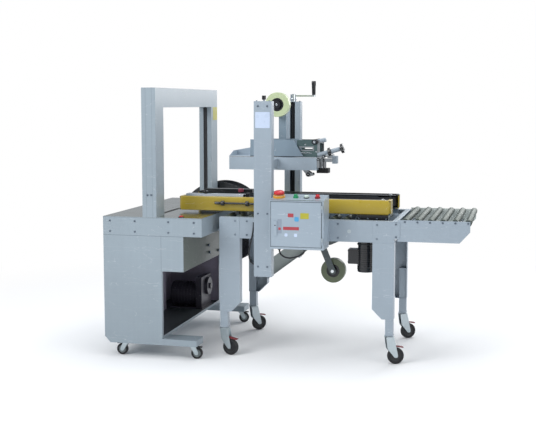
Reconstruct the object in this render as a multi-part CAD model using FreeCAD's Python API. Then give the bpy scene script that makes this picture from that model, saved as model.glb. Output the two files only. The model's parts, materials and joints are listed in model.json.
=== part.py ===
import FreeCAD, Part
import math
import os

# In-line carton sealer and strapping machine: an arch strapper on the left, a side-belt
# carton sealer with a top and a bottom tape head in the middle, and a short roller infeed
# on the right. Millimetres. The machine is laid out with x along the carton's path from the
# strapper's left end, y across it from the sealer's centre line (minus is the operator's
# side) and z up from the floor. main() moves it so that the origin is the bottom centre.

V = FreeCAD.Vector

# ---- strapper ----
TABLE_LENGTH = 570.0
TABLE_TOP = 787.0
APRON_DEPTH = 102.0
TABLE_PLATE = 4.0
STRAPPER_CENTRE_Y = 52.0
ARCH_OPENING = 888.0
ARCH_CLEAR_HEIGHT = 595.0
ARCH_COLUMN = 127.0
ARCH_BEAM = 107.0
ARCH_THICKNESS = 80.0
ARCH_LEFT = 233.0
CABINET_LENGTH = 339.0
CABINET_BACK_INSET = 46.0
SIDE_HOUSING_LENGTH = 126.0
SIDE_HOUSING_HEIGHT = 194.0
RAIL_LENGTH = 536.0
RAIL_HEIGHT = 35.0
RAIL_WIDTH = 118.0
RAIL_NOSE = 32.0
SHEET = 2.0
STRAP_TRACK_WIDTH = 14.0
STRAP_TRACK_DEPTH = 16.0
REEL_RADIUS = 275.0
REEL_WIDTH = 160.0
REEL_X = 316.0
REEL_Z = 620.0
REEL_GAP = 26.0
COIL_RADIUS = 235.0
SPINDLE_RADIUS = 12.5
REEL_FLANGE = 3.0
KNOB_LENGTH = 12.0
BUTTON_PLACE = (440.0, 44.0)
BUTTON_TRAVEL = 2.0
BUTTON_STEM = 6.0
BEZEL_HEIGHT = 3.0

# ---- sealer frame and infeed ----
FRAME_LEFT = 615.0
FRAME_LENGTH = 972.0
FRAME_HALF_WIDTH = 338.0
FRAME_TOP = 779.0
FRAME_DEPTH = 116.0
FRAME_SHEET = 2.5
FLANGE = 40.0
LEG_WIDTH = 117.0
LEG_BOTTOM = 248.0
LEG_CHAMFER = 53.0
LEG_FLANGE = 50.0
FOOT_SIZE = 42.0
FOOT_BOTTOM = 157.0
BRACE_FOOT = 328.0
BRACE_HEIGHT = 114.0
BRACE_RISE = math.radians(37.0)
INFEED_GAP = 16.0
INFEED_LENGTH = 379.0
INFEED_TOP = 789.0
INFEED_BOTTOM = 673.0
INFEED_CHAMFER_X = 54.0
INFEED_CHAMFER_Z = 60.0
ROLLER_PITCH = 66.0
ROLLER_RADIUS = 18.0
ROLLER_AXLE = 6.0
INFEED_ROLLERS = 6
BED_ROLLERS = 11
CENTRE_HALF_WIDTH = 103.0

# ---- lift columns and top head ----
COLUMN_LEFT = 828.0
COLUMN_WIDTH = 98.0
COLUMN_DEPTH = 55.0
COLUMN_BOTTOM = 462.0
COLUMN_TOP = 1416.0
COLUMN_SHEET = 3.0
COLUMN_SLOT = 30.0
CARRIAGE_TUBE = 24.0
SCREW_RADIUS = 10.0
GUIDE_RADIUS = 8.0
BEAM_LEFT = 600.0
BEAM_LENGTH = 512.0
BEAM_BOTTOM = 1028.0
BEAM_TOP = 1103.0
BEAM_HALF_WIDTH = 85.0
SQUEEZER_RISE = 15.5
TAPE_RADIUS = 70.0
TAPE_CORE = 38.0
TAPE_WIDTH = 50.0
TOP_TAPE = (868.0, 1397.0)
BOTTOM_TAPE = (1199.0, 450.0)

# ---- side-belt drives ----
GUARD_LEFT = 342.0
GUARD_LENGTH = 1208.0
GUARD_BOTTOM = 801.0
GUARD_TOP = 880.0
GUARD_FACE = 224.0
BELT_FACE = 125.0
BELT_THICKNESS = 4.0
BELT_HEIGHT = 50.0
PULLEY_RADIUS = 33.0
PULLEY_SHAFT = 8.0
IDLER_X = 392.0
DRIVE_PULLEY_X = 1500.0
WIDTH_ROD_RADIUS = 10.0
MOTOR_BOTTOM = 484.0

# ---- control box ----
BOX_LEFT = 940.0
BOX_LENGTH = 292.0
BOX_BOTTOM = 633.0
BOX_FRONT_TOP = 893.0
BOX_SLOPE = math.radians(8.0)
BOX_DEPTH = 150.0
DOOR_LAP = 12.0
STOP_STEM = 9.0
PUSH_STEM = 8.0

# ---- casters ----
BIG_WHEEL = 45.0
BIG_TRAIL = 36.0
SMALL_WHEEL = 32.0
SMALL_TRAIL = 22.0
SMALL_CASTER_HEIGHT = 79.0

# ---- fits and joins ----
RUNNING = 0.05
SIDE_PLAY = 0.5
BELT_PLAY = 0.3
BOLT_RADIUS = 5.0
BOLT_HEAD = 3.0

# ---- places that follow ----
APRON_BOTTOM = TABLE_TOP - APRON_DEPTH
ARCH_HALF = ARCH_OPENING / 2
ARCH_TOP = TABLE_TOP + ARCH_CLEAR_HEIGHT + ARCH_BEAM
STRAPPER_FRONT = STRAPPER_CENTRE_Y - ARCH_HALF - ARCH_COLUMN
STRAPPER_BACK = STRAPPER_CENTRE_Y + ARCH_HALF + ARCH_COLUMN
CABINET_BACK = STRAPPER_BACK - CABINET_BACK_INSET
RAIL_TOP = SMALL_CASTER_HEIGHT + RAIL_HEIGHT
SLOT_X = ARCH_LEFT + ARCH_THICKNESS / 2
FRAME_RIGHT = FRAME_LEFT + FRAME_LENGTH
FRAME_BOTTOM = FRAME_TOP - FRAME_DEPTH
INFEED_LEFT = FRAME_RIGHT + INFEED_GAP
INFEED_RIGHT = INFEED_LEFT + INFEED_LENGTH
INFEED_AXLE_Z = INFEED_TOP - 10.0
FIRST_INFEED_ROLLER = INFEED_LEFT + 38.0
BED_AXLE_Z = FRAME_TOP - 9.0
FIRST_BED_ROLLER = FRAME_LEFT + 35.0
COLUMN_FACE = FRAME_HALF_WIDTH + COLUMN_DEPTH
COLUMN_X = COLUMN_LEFT + COLUMN_WIDTH / 2
COLUMN_ROD_Y = FRAME_HALF_WIDTH + 24.0
GUARD_RIGHT = GUARD_LEFT + GUARD_LENGTH
PULLEY_Y = BELT_FACE + BELT_THICKNESS + PULLEY_RADIUS
BELT_BOTTOM = GUARD_BOTTOM + 14.0
BOX_RIGHT = BOX_LEFT + BOX_LENGTH
BOX_FACE = FRAME_HALF_WIDTH + BOX_DEPTH
HEAD_SLEEVE = (1020.0, 1110.0)
CROSS_BAR_TOP = FRAME_BOTTOM + 35.0
GEARBOX_BOTTOM = FRAME_BOTTOM + 2.0
WIDTH_ROD_X = (FIRST_BED_ROLLER + ROLLER_PITCH / 2, FIRST_BED_ROLLER + 10.5 * ROLLER_PITCH)
WIDTH_ROD_Z = FRAME_BOTTOM + 57.0


# ---- helpers ----
def block(x0, x1, y0, y1, z0, z1):
    """Box between two corners."""
    return Part.makeBox(x1 - x0, y1 - y0, z1 - z0, V(x0, y0, z0))


AXES = {"x": V(1, 0, 0), "y": V(0, 1, 0), "z": V(0, 0, 1)}


def rod(start, axis, radius, length):
    """Solid cylinder from a start point along an axis."""
    return Part.makeCylinder(radius, length, V(*start), AXES[axis])


def ring(start, axis, outer, inner, length):
    """Hollow cylinder."""
    return rod(start, axis, outer, length).cut(rod(start, axis, inner, length))


def prism(points, axis, start, end):
    """Outline in the plane square to an axis, drawn out from start to end."""
    place = {
        "x": lambda a, b: V(start, a, b),
        "y": lambda a, b: V(a, start, b),
        "z": lambda a, b: V(a, b, start),
    }[axis]
    corners = [place(a, b) for a, b in points]
    face = Part.Face(Part.makePolygon(corners + corners[:1]))
    return face.extrude(AXES[axis] * (end - start))


def join(shapes):
    """One solid from touching shapes."""
    return shapes[0].multiFuse(shapes[1:]).removeSplitter()


def far_side(shape):
    """The same piece on the other side of the carton's path."""
    return shape.mirror(V(0, 0, 0), V(0, 1, 0))


def both_sides(shape):
    """A piece and its mirror twin."""
    return [shape, far_side(shape)]


def turned(shape, x, y, degrees):
    """A piece turned about an upright axis."""
    copy = shape.copy()
    copy.rotate(V(x, y, 0), V(0, 0, 1), degrees)
    return copy


def bolt(x, y, z, axis, sign):
    """Round bolt head on a face, standing out along sign times the axis."""
    head = BOLT_HEAD * sign
    start = V(x, y, z)
    cap = Part.makeCylinder(BOLT_RADIUS, BOLT_HEAD, start, AXES[axis] * sign)
    socket = Part.makeCylinder(BOLT_RADIUS * 0.5, BOLT_HEAD, start + AXES[axis] * head * 0.4, AXES[axis] * sign)
    return cap.cut(socket)


# ---- strapper ----
def rail_bands():
    """Front and back faces of the two base rails."""
    front = (STRAPPER_FRONT, STRAPPER_FRONT + RAIL_WIDTH)
    back = (CABINET_BACK - RAIL_WIDTH, CABINET_BACK)
    return (front, back)


def small_caster_places():
    """Swivel axes under the rails."""
    xs = (103.0, RAIL_LENGTH - 39.0)
    return [(x, (y0 + y1) / 2) for y0, y1 in rail_bands() for x in xs]


def strapper_rails():
    """Two closed tubes with a bevelled nose, and the casters' mounting plates under them."""
    low = SMALL_CASTER_HEIGHT
    outline = [(0, RAIL_TOP), (RAIL_LENGTH, RAIL_TOP), (RAIL_LENGTH, low), (RAIL_NOSE, low)]
    solids = []
    for y0, y1 in rail_bands():
        tube = prism(outline, "y", y0, y1)
        hollow = block(-1, RAIL_LENGTH + 1, y0 + SHEET, y1 - SHEET, low + SHEET, RAIL_TOP - SHEET)
        solids.append(tube.cut(hollow))
    for x, y in small_caster_places():
        plate = block(x - 34, x + 34, y - 28, y + 28, low - 4, low)
        solids.append(plate.cut(rod((x, y, low - 5), "z", 5 + RUNNING, 6)))
    return Part.makeCompound(solids)


def strapper_cabinet():
    """Open-sided cabinet, its screwed front panel and the side housing under the table."""
    x1 = CABINET_LENGTH
    y0, y1 = STRAPPER_FRONT + SHEET, CABINET_BACK
    z0, z1 = RAIL_TOP, APRON_BOTTOM
    shell = block(0, x1, y0, y1, z0, z1)
    shell = shell.cut(block(SHEET, x1 + 1, y0 - 1, y1 - SHEET, z0 + SHEET, z1 + 1))
    lips = [block(x1 - SHEET, x1, y0, y0 + 20, z0, z1), block(x1 - SHEET, x1, y1 - 20, y1, z0, z1)]
    lips.append(block(x1 - SHEET, x1, y0, y1, z0, z0 + 14))
    shell = join([shell] + lips)
    panel = block(0, x1, STRAPPER_FRONT, STRAPPER_FRONT + SHEET, z0, z1)
    hx1 = x1 + SIDE_HOUSING_LENGTH
    hz0 = z1 - SIDE_HOUSING_HEIGHT
    housing = block(x1, hx1, STRAPPER_FRONT, y1, hz0, z1)
    inside = block(x1 - 1, hx1 - SHEET, STRAPPER_FRONT + SHEET, y1 - SHEET, hz0 + SHEET, z1 + 1)
    housing = housing.cut(inside)
    return Part.makeCompound([shell, panel, housing])


def head_window(margin):
    """Opening in the table for the strapping head, smaller by a margin all round."""
    half_x, half_y = 48.0 - margin, 75.0 - margin
    centre = STRAPPER_CENTRE_Y
    return (SLOT_X - half_x, SLOT_X + half_x, centre - half_y, centre + half_y)


def track_slot():
    """The strap slot's box in x and y, between the feet of the arch."""
    half = STRAP_TRACK_WIDTH / 2
    reach = ARCH_HALF + STRAP_TRACK_DEPTH
    return (SLOT_X - half, SLOT_X + half, STRAPPER_CENTRE_Y - reach, STRAPPER_CENTRE_Y + reach)


def button_centre():
    """Start button's axis near the table's front edge."""
    return (BUTTON_PLACE[0], STRAPPER_FRONT + BUTTON_PLACE[1])


def strapper_table():
    """Table top with its strap slot, aprons, head-carrying bars and the start button's seat."""
    y0, y1 = STRAPPER_FRONT, STRAPPER_BACK
    z0 = APRON_BOTTOM
    z1 = TABLE_TOP - TABLE_PLATE
    length = TABLE_LENGTH
    top = block(0, length, y0, y1, z1, TABLE_TOP)
    top = top.cut(block(*track_slot(), z1 - 1, TABLE_TOP + 1))
    top = top.cut(block(*head_window(0), z1 - 1, TABLE_TOP + 1))
    walls = block(0, length, y0, y1, z0, z1).cut(
        block(SHEET, length - SHEET, y0 + SHEET, y1 - SHEET, z0 - 1, z1 + 1)
    )
    lips = [
        block(0, length, y0, y0 + 22, z0, z0 + SHEET),
        block(0, length, y1 - 22, y1, z0, z0 + SHEET),
    ]
    bars = []
    for side in (-1, 1):
        near = STRAPPER_CENTRE_Y + side * 95 - 15
        bars.append(block(SHEET, length - SHEET, near, near + 30, z0 + 5, z0 + 35))
    bx, by = button_centre()
    bezel = ring((bx, by, TABLE_TOP), "z", 17, 13, BEZEL_HEIGHT)
    housing = block(bx - 16, bx + 16, by - 16, by + 16, z1 - 40, z1)
    bore = rod((bx, by, z1 - 16), "z", BUTTON_STEM + RUNNING, TABLE_PLATE + 18)
    return join([top, walls, bezel, housing] + lips + bars).cut(bore)


def strapper_button():
    """Start button that stands up out of its bezel in the table top."""
    bx, by = button_centre()
    low = TABLE_TOP + BUTTON_TRAVEL + 0.5
    cap = rod((bx, by, low), "z", 12.5, 5)
    stem = rod((bx, by, TABLE_TOP - TABLE_PLATE - 12), "z", BUTTON_STEM, low - TABLE_TOP + TABLE_PLATE + 12)
    return join([cap, stem])


def strapper_arch():
    """Hollow sheet arch, open along the strap's path on its inner faces."""
    def portal(margin, inner, foot):
        y0, y1 = STRAPPER_FRONT + margin, STRAPPER_BACK - margin
        i0 = STRAPPER_CENTRE_Y - ARCH_HALF - inner
        i1 = STRAPPER_CENTRE_Y + ARCH_HALF + inner
        top, beam = ARCH_TOP - margin, TABLE_TOP + ARCH_CLEAR_HEIGHT + inner
        return [(y0, foot), (y0, top), (y1, top), (y1, foot), (i1, foot), (i1, beam), (i0, beam), (i0, foot)]

    right = ARCH_LEFT + ARCH_THICKNESS
    arch = prism(portal(0, 0, TABLE_TOP), "x", ARCH_LEFT, right)
    arch = arch.cut(prism(portal(SHEET, SHEET, TABLE_TOP - 1), "x", ARCH_LEFT + SHEET, right - SHEET))
    s0, s1, y0, y1 = track_slot()
    slot = block(s0, s1, y0 + 2, y1 - 2, TABLE_TOP - 1, TABLE_TOP + ARCH_CLEAR_HEIGHT + SHEET + 1)
    return arch.cut(slot)


def strap_track():
    """Closed track that the strap is fired round, grooved on its inside."""
    s0, s1, y0, y1 = track_slot()
    d = STRAP_TRACK_DEPTH
    z0, z1 = TABLE_TOP - d, TABLE_TOP + ARCH_CLEAR_HEIGHT + d
    track = block(s0, s1, y0, y1, z0, z1)
    track = track.cut(block(s0 - 1, s1 + 1, y0 + d, y1 - d, z0 + d, z1 - d))
    g = d - 3
    track = track.cut(block(s0 + 3, s1 - 3, y0 + g, y1 - g, z0 + g, z1 - g))
    w0, w1, wy0, wy1 = head_window(-1)
    return track.cut(block(w0, w1, wy0, wy1, z0 - 1, TABLE_TOP + 3))


def strapping_unit():
    """Strapping head with its cam shaft, and the drive motor and gearbox on the floor."""
    w0, w1, y0, y1 = head_window(1)
    z1 = TABLE_TOP - TABLE_PLATE
    cover = block(w0, w1, y0, y1, z1, TABLE_TOP)
    casting = block(w0 + 4, w1 - 4, y0 + 4, y1 - 4, APRON_BOTTOM - 85, z1)
    shaft_z = APRON_BOTTOM - 60
    foot_z = APRON_BOTTOM + 35
    foot = block(w0, w1, STRAPPER_CENTRE_Y - 110, STRAPPER_CENTRE_Y + 110, foot_z, foot_z + 8)
    shaft = rod((SLOT_X, y1 - 10, shaft_z), "y", 12, 120)
    cams = [rod((SLOT_X + 8, y1 + 14 + 22 * k, shaft_z), "y", 34, 10) for k in range(4)]
    strap_slit = block(SLOT_X - 8, SLOT_X + 8, y0 + 30, y1 - 30, TABLE_TOP - 2, TABLE_TOP + 1)
    head = join([cover, casting, foot, shaft] + cams).cut(strap_slit)
    floor = RAIL_TOP + SHEET
    my = CABINET_BACK - 190
    foot = block(80, 305, my - 85, my + 130, floor, floor + 10)
    motor = rod((90, my, floor + 82), "x", 75, 170)
    fins = [ring((100 + 20 * k, my, floor + 82), "x", 79, 74, 4) for k in range(8)]
    gearcase = block(262, 300, my - 78, my + 120, floor + 10, floor + 200)
    pulley = rod((300, my + 40, floor + 130), "x", 56, 18)
    hub = rod((318, my + 40, floor + 130), "x", 18, 10)
    drive = join([foot, motor, gearcase, pulley, hub] + fins)
    pool = block(SHEET + 10, 80, STRAPPER_FRONT + 120, my - 120, floor, floor + 300)
    return Part.makeCompound([head, drive, pool])


def reel_stand():
    """Plate on the cabinet's back with the spindle, its collar and its end knob."""
    y0 = CABINET_BACK
    start = STRAPPER_BACK + REEL_GAP
    end = start + REEL_WIDTH + 2 * REEL_FLANGE
    plate = block(REEL_X - 60, REEL_X + 60, y0, y0 + 8, REEL_Z - 80, REEL_Z + 60)
    spindle = rod((REEL_X, y0 + 8, REEL_Z), "y", SPINDLE_RADIUS, end - y0 - 4)
    collar = rod((REEL_X, y0 + 8, REEL_Z), "y", 24, start - y0 - 8 - SIDE_PLAY)
    knob = rod((REEL_X, end + SIDE_PLAY, REEL_Z), "y", 32, KNOB_LENGTH)
    return join([plate, spindle, collar, knob])


def strap_reel():
    """Slotted flanges on a bushed drum, carrying the coil of strap."""
    y0 = STRAPPER_BACK + REEL_GAP
    y1 = y0 + REEL_WIDTH + 2 * REEL_FLANGE
    centre = (REEL_X, y0, REEL_Z)
    drum_radius = 98.0
    flange = rod(centre, "y", REEL_RADIUS, REEL_FLANGE)
    slots = []
    for k in range(8):
        cut = block(REEL_X - 14, REEL_X + 14, y0 - 1, y0 + 4, REEL_Z + 44, REEL_Z + 84)
        long_cut = block(REEL_X - 10, REEL_X + 10, y0 - 1, y0 + 4, REEL_Z + 112, REEL_Z + 222)
        for piece in (cut, long_cut):
            piece.rotate(V(*centre), AXES["y"], 45.0 * k)
            slots.append(piece)
    flange = flange.cut(Part.makeCompound(slots))
    back = flange.copy()
    back.translate(V(0, y1 - y0 - REEL_FLANGE, 0))
    drum = ring(centre, "y", drum_radius, drum_radius - 4, y1 - y0)
    bush = rod(centre, "y", SPINDLE_RADIUS + 9, y1 - y0)
    body = join([flange, back, drum, bush]).cut(rod(centre, "y", SPINDLE_RADIUS + RUNNING, y1 - y0))
    coil = ring((REEL_X, y0 + REEL_FLANGE, REEL_Z), "y", COIL_RADIUS, drum_radius + 0.2, REEL_WIDTH)
    return Part.makeCompound([body, coil])


# ---- sealer frame ----
def side_frames():
    """Two channel side frames with cross bars, roller rails, width rods and docking bars."""
    half = FRAME_HALF_WIDTH
    web = half - FRAME_SHEET
    near = block(FRAME_LEFT, FRAME_RIGHT, -half, -half + FLANGE, FRAME_BOTTOM, FRAME_TOP)
    hollow = block(
        FRAME_LEFT - 1, FRAME_RIGHT + 1, -web, -half + FLANGE + 1, FRAME_BOTTOM + FRAME_SHEET, FRAME_TOP - FRAME_SHEET
    )
    pieces = both_sides(near.cut(hollow))
    rail_left, rail_right = FRAME_LEFT + 25, FRAME_RIGHT - 27
    bar_bottom = FRAME_BOTTOM + FRAME_SHEET
    for x in (FRAME_LEFT + 3, 900.0, 1280.0, FRAME_RIGHT - 43):
        pieces.append(block(x, x + 40, -web, web, bar_bottom, CROSS_BAR_TOP))
    rail = block(rail_left, rail_right, -CENTRE_HALF_WIDTH, -CENTRE_HALF_WIDTH + 3, CROSS_BAR_TOP, FRAME_TOP - 3)
    pieces += both_sides(rail)
    for x in WIDTH_ROD_X:
        pieces.append(rod((x, -web, WIDTH_ROD_Z), "y", WIDTH_ROD_RADIUS, 2 * web))
    for y in (190.0, -230.0):
        pieces.append(block(TABLE_LENGTH, FRAME_LEFT + 3, y, y + 40, CROSS_BAR_TOP - 10, CROSS_BAR_TOP))
    pieces.append(block(COLUMN_LEFT - 25, COLUMN_LEFT - 1, -half - 20, -half, CONDUIT_ROUTE[0][2], FRAME_TOP))
    return join(pieces)


def leg_outline(margin, top):
    """Left leg's outline in x and z, its lower inner corner bevelled."""
    x0, x1 = FRAME_LEFT + margin, FRAME_LEFT + LEG_WIDTH - margin
    z0 = LEG_BOTTOM + margin
    lean = margin * (math.sqrt(2) - 1)
    cut = LEG_CHAMFER - margin + lean
    return [(x0, top), (x1, top), (x1, z0 + cut), (x1 - cut, z0), (x0, z0)]


def foot_places():
    """Centres of the telescopic feet: near left, near right, far left, far right."""
    inset = FRAME_SHEET + FOOT_SIZE / 2
    xs = (FRAME_LEFT + inset, FRAME_RIGHT - inset)
    y = FRAME_HALF_WIDTH - inset
    return [(x, side * y) for side in (-1, 1) for x in xs]


def legs():
    """Channel legs, each with a square telescopic foot and the caster's socket plate."""
    half = FRAME_HALF_WIDTH
    shell = prism(leg_outline(0, FRAME_BOTTOM), "y", -half, -half + LEG_FLANGE)
    inside = prism(leg_outline(FRAME_SHEET, FRAME_BOTTOM + 1), "y", -half + FRAME_SHEET, -half + LEG_FLANGE + 1)
    x, y = foot_places()[0]
    h = FOOT_SIZE / 2
    tube = block(x - h, x + h, y - h, y + h, FOOT_BOTTOM + 6, FOOT_BOTTOM + 273)
    tube = tube.cut(block(x - h + 3, x + h - 3, y - h + 3, y + h - 3, FOOT_BOTTOM + 5, FOOT_BOTTOM + 274))
    plate = block(x - h - 1.5, x + h + 1.5, y - h - 1.5, y + h + 1.5, FOOT_BOTTOM, FOOT_BOTTOM + 6)
    plate = plate.cut(rod((x, y, FOOT_BOTTOM - 1), "z", 6 + RUNNING, 8))
    leg = shell.cut(inside).cut(block(x - h, x + h, y - h, y + h, LEG_BOTTOM - 1, LEG_BOTTOM + 10))
    near_left = Part.makeCompound([leg, join([tube, plate])])
    near_right = near_left.mirror(V(FRAME_LEFT + FRAME_LENGTH / 2, 0, 0), V(1, 0, 0))
    solids = []
    for pair in (near_left, near_right):
        for side in both_sides(pair):
            solids += side.Solids
    return Part.makeCompound(solids + [far_brace()])


def far_brace():
    """Folded strip that runs from the far outfeed leg up to the far side frame."""
    slope = math.tan(BRACE_RISE)
    foot_x = FRAME_LEFT + LEG_WIDTH
    rise = FRAME_BOTTOM - BRACE_FOOT
    low, high = (foot_x, BRACE_FOOT), (foot_x + rise / slope, FRAME_BOTTOM)
    top_x = foot_x + (rise - BRACE_HEIGHT) / slope
    outer = FRAME_HALF_WIDTH - FRAME_SHEET
    web = prism([low, high, (top_x, FRAME_BOTTOM), (foot_x, BRACE_FOOT + BRACE_HEIGHT)], "y", outer - 2, outer)
    step = FRAME_SHEET / slope
    lip = prism([low, high, (high[0] - step, FRAME_BOTTOM), (foot_x, BRACE_FOOT + FRAME_SHEET)], "y", outer - 24, outer)
    return join([web, lip])


def bed_rollers():
    """Short rollers between the centre rails and long ones out to the side frames."""
    z = BED_AXLE_Z
    web = FRAME_HALF_WIDTH - FRAME_SHEET
    inner = CENTRE_HALF_WIDTH - 3
    flange_edge = FRAME_HALF_WIDTH - FLANGE
    solids = []
    for k in range(BED_ROLLERS):
        x = FIRST_BED_ROLLER + k * ROLLER_PITCH
        axle = rod((x, -web, z), "y", 5, web - CENTRE_HALF_WIDTH)
        tube = rod((x, -flange_edge + 4, z), "y", ROLLER_RADIUS, flange_edge - CENTRE_HALF_WIDTH - 8)
        solids += both_sides(join([axle, tube]))
    for k in (0, 1, 2, 3, 4, 10, 11, 12, 13):
        x = FIRST_BED_ROLLER + k * ROLLER_PITCH
        axle = rod((x, -inner, z), "y", 5, 2 * inner)
        tube = rod((x, -inner + 4, z), "y", ROLLER_RADIUS, 2 * inner - 8)
        solids.append(join([axle, tube]))
    return Part.makeCompound(solids)


def infeed_table():
    """Bevelled side plates, cross bars, the rollers' fixed axles and the joining brackets."""
    half = FRAME_HALF_WIDTH
    x0, x1 = INFEED_LEFT, INFEED_RIGHT
    z0, z1 = INFEED_BOTTOM, INFEED_TOP
    outline = [(x0, z1), (x1, z1), (x1, z0 + INFEED_CHAMFER_Z), (x1 - INFEED_CHAMFER_X, z0), (x0, z0)]
    plate = prism(outline, "y", -half, -half + FRAME_SHEET)
    lip = block(x0, x1 - INFEED_CHAMFER_X, -half, -half + 22, z0, z0 + FRAME_SHEET)
    web = half - FRAME_SHEET
    pieces = both_sides(plate) + both_sides(lip)
    for x in (x0 + 4, x1 - 90):
        pieces.append(block(x, x + 26, -web, web, z0 + 18, z0 + 58))
    for x in infeed_roller_places():
        pieces.append(rod((x, -half, INFEED_AXLE_Z), "y", ROLLER_AXLE, 2 * half))
    frame = join(pieces)
    bracket = block(FRAME_RIGHT - 12, x0 + 12, -half - 3, -half, INFEED_BOTTOM + 14, INFEED_TOP - 14)
    return Part.makeCompound([frame] + both_sides(bracket))


def infeed_roller_places():
    """Axle positions along x."""
    return [FIRST_INFEED_ROLLER + k * ROLLER_PITCH for k in range(INFEED_ROLLERS)]


def infeed_roller(x):
    """Free-running roller: tube with a bushed plug in each end."""
    web = FRAME_HALF_WIDTH - FRAME_SHEET - 3
    start = (x, -web, INFEED_AXLE_Z)
    tube = ring(start, "y", ROLLER_RADIUS, ROLLER_RADIUS - 2, 2 * web)
    plugs = []
    for y in (-web, web - 14):
        plugs.append(ring((x, y, INFEED_AXLE_Z), "y", ROLLER_RADIUS - 1, ROLLER_AXLE + RUNNING, 14))
    return join([tube] + plugs)


# ---- columns and lift ----
def columns():
    """Two channel columns facing each other, one with a guide rod, one with the screw's bearings."""
    x0, x1 = COLUMN_LEFT, COLUMN_LEFT + COLUMN_WIDTH
    t = COLUMN_SHEET
    half = FRAME_HALF_WIDTH
    shell = block(x0, x1, -COLUMN_FACE, -half, COLUMN_BOTTOM, COLUMN_TOP)
    shell = shell.cut(block(x0 + t, x1 - t, -COLUMN_FACE + t, -half + 1, COLUMN_BOTTOM - 1, COLUMN_TOP - t))
    lips = [
        block(x0, COLUMN_X - COLUMN_SLOT / 2, -half - t, -half, COLUMN_BOTTOM, COLUMN_TOP),
        block(COLUMN_X + COLUMN_SLOT / 2, x1, -half - t, -half, COLUMN_BOTTOM, COLUMN_TOP),
    ]
    shell = join([shell] + lips)
    seat = block(x0 + t, x1 - t, -COLUMN_FACE + t, -half - t, FRAME_BOTTOM, FRAME_BOTTOM + 20)
    low = FRAME_BOTTOM + 20
    guide = rod((COLUMN_X, -COLUMN_ROD_Y, low), "z", GUIDE_RADIUS, COLUMN_TOP - low)
    near = join([shell, seat, guide])
    knob = rod((COLUMN_X, -COLUMN_ROD_Y, COLUMN_TOP), "z", 4.5, 8)
    knob_head = rod((COLUMN_X, -COLUMN_ROD_Y, COLUMN_TOP + 8), "z", 11, 22)
    far = far_side(join([shell, seat]))
    screw_hole = rod((COLUMN_X, COLUMN_ROD_Y, FRAME_BOTTOM + 5), "z", SCREW_RADIUS + RUNNING, COLUMN_TOP)
    return Part.makeCompound([near, far.cut(screw_hole), join([knob, knob_head])])


def lift_crank():
    """Lead screw with its hub, crank arm and handle pin."""
    x, y = COLUMN_X, COLUMN_ROD_Y
    low = FRAME_BOTTOM + 5
    screw = rod((x, y, low), "z", SCREW_RADIUS, COLUMN_TOP + 10 - low)
    hub = rod((x, y, COLUMN_TOP + SIDE_PLAY), "z", 18, 42)
    arm = block(x, x + 126, y - 11, y + 11, COLUMN_TOP + 29, COLUMN_TOP + 38)
    arm_end = rod((x + 126, y, COLUMN_TOP + 29), "z", 11, 9)
    pin = rod((x + 126, y, COLUMN_TOP + 38), "z", 5, 80)
    return join([screw, hub, arm, arm_end, pin])


def crank_grip():
    """Tapered grip that turns on the crank's pin."""
    x, y, z = COLUMN_X + 126, COLUMN_ROD_Y, COLUMN_TOP + 38 + SIDE_PLAY
    body = Part.makeCone(10, 14, 84, V(x, y, z), AXES["z"])
    return body.cut(rod((x, y, z - 1), "z", 5 + RUNNING, 81))


def head_carriage():
    """Sleeves that ride in the columns and the cross tubes that carry the top head."""
    x0, x1 = COLUMN_LEFT + COLUMN_SHEET + SIDE_PLAY, COLUMN_LEFT + COLUMN_WIDTH - COLUMN_SHEET - SIDE_PLAY
    y0, y1 = -COLUMN_FACE + COLUMN_SHEET + SIDE_PLAY, -FRAME_HALF_WIDTH - COLUMN_SHEET - SIDE_PLAY
    z0, z1 = HEAD_SLEEVE
    sleeve = block(x0, x1, y0, y1, z0, z1)
    half = CARRIAGE_TUBE / 2
    tube = block(COLUMN_X - half, COLUMN_X + half, y1, -BEAM_HALF_WIDTH, z0 + 22, z0 + 72)
    piece = join([sleeve, tube])
    near = piece.cut(rod((COLUMN_X, -COLUMN_ROD_Y, z0 - 1), "z", GUIDE_RADIUS + RUNNING, z1 - z0 + 2))
    far = far_side(piece).cut(rod((COLUMN_X, COLUMN_ROD_Y, z0 - 1), "z", SCREW_RADIUS + RUNNING, z1 - z0 + 2))
    return Part.makeCompound([near, far])


def head_beam():
    """Inverted channel over the carton, with an open tray rising to the far side at its outfeed end."""
    x0, x1 = BEAM_LEFT, BEAM_LEFT + BEAM_LENGTH
    w = BEAM_HALF_WIDTH
    beam = block(x0, x1, -w, w, BEAM_BOTTOM, BEAM_TOP)
    beam = beam.cut(block(x0 + 3, x1 - 3, -w + 3, w - 3, BEAM_BOTTOM - 1, BEAM_TOP - 3))
    beam = beam.cut(block(x0 + 140, x1 - 12, -42, 42, BEAM_TOP - 4, BEAM_TOP + 1))
    cowl_x = x0 + 124
    low, high = BEAM_TOP + 29, BEAM_TOP + 52
    outer = prism([(x0, BEAM_TOP), (x0, low), (cowl_x, high), (cowl_x, BEAM_TOP)], "y", -w, w)
    t = SHEET
    cowl = outer.cut(block(x0 + t, cowl_x - t, -w + t, w - t, BEAM_TOP - 1, high + 1))
    wedge = [(-w, BEAM_TOP), (w, BEAM_TOP), (w, high + 1), (-w, BEAM_TOP + t)]
    return Part.makeCompound([beam, cowl.common(prism(wedge, "x", x0, cowl_x))])


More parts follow.
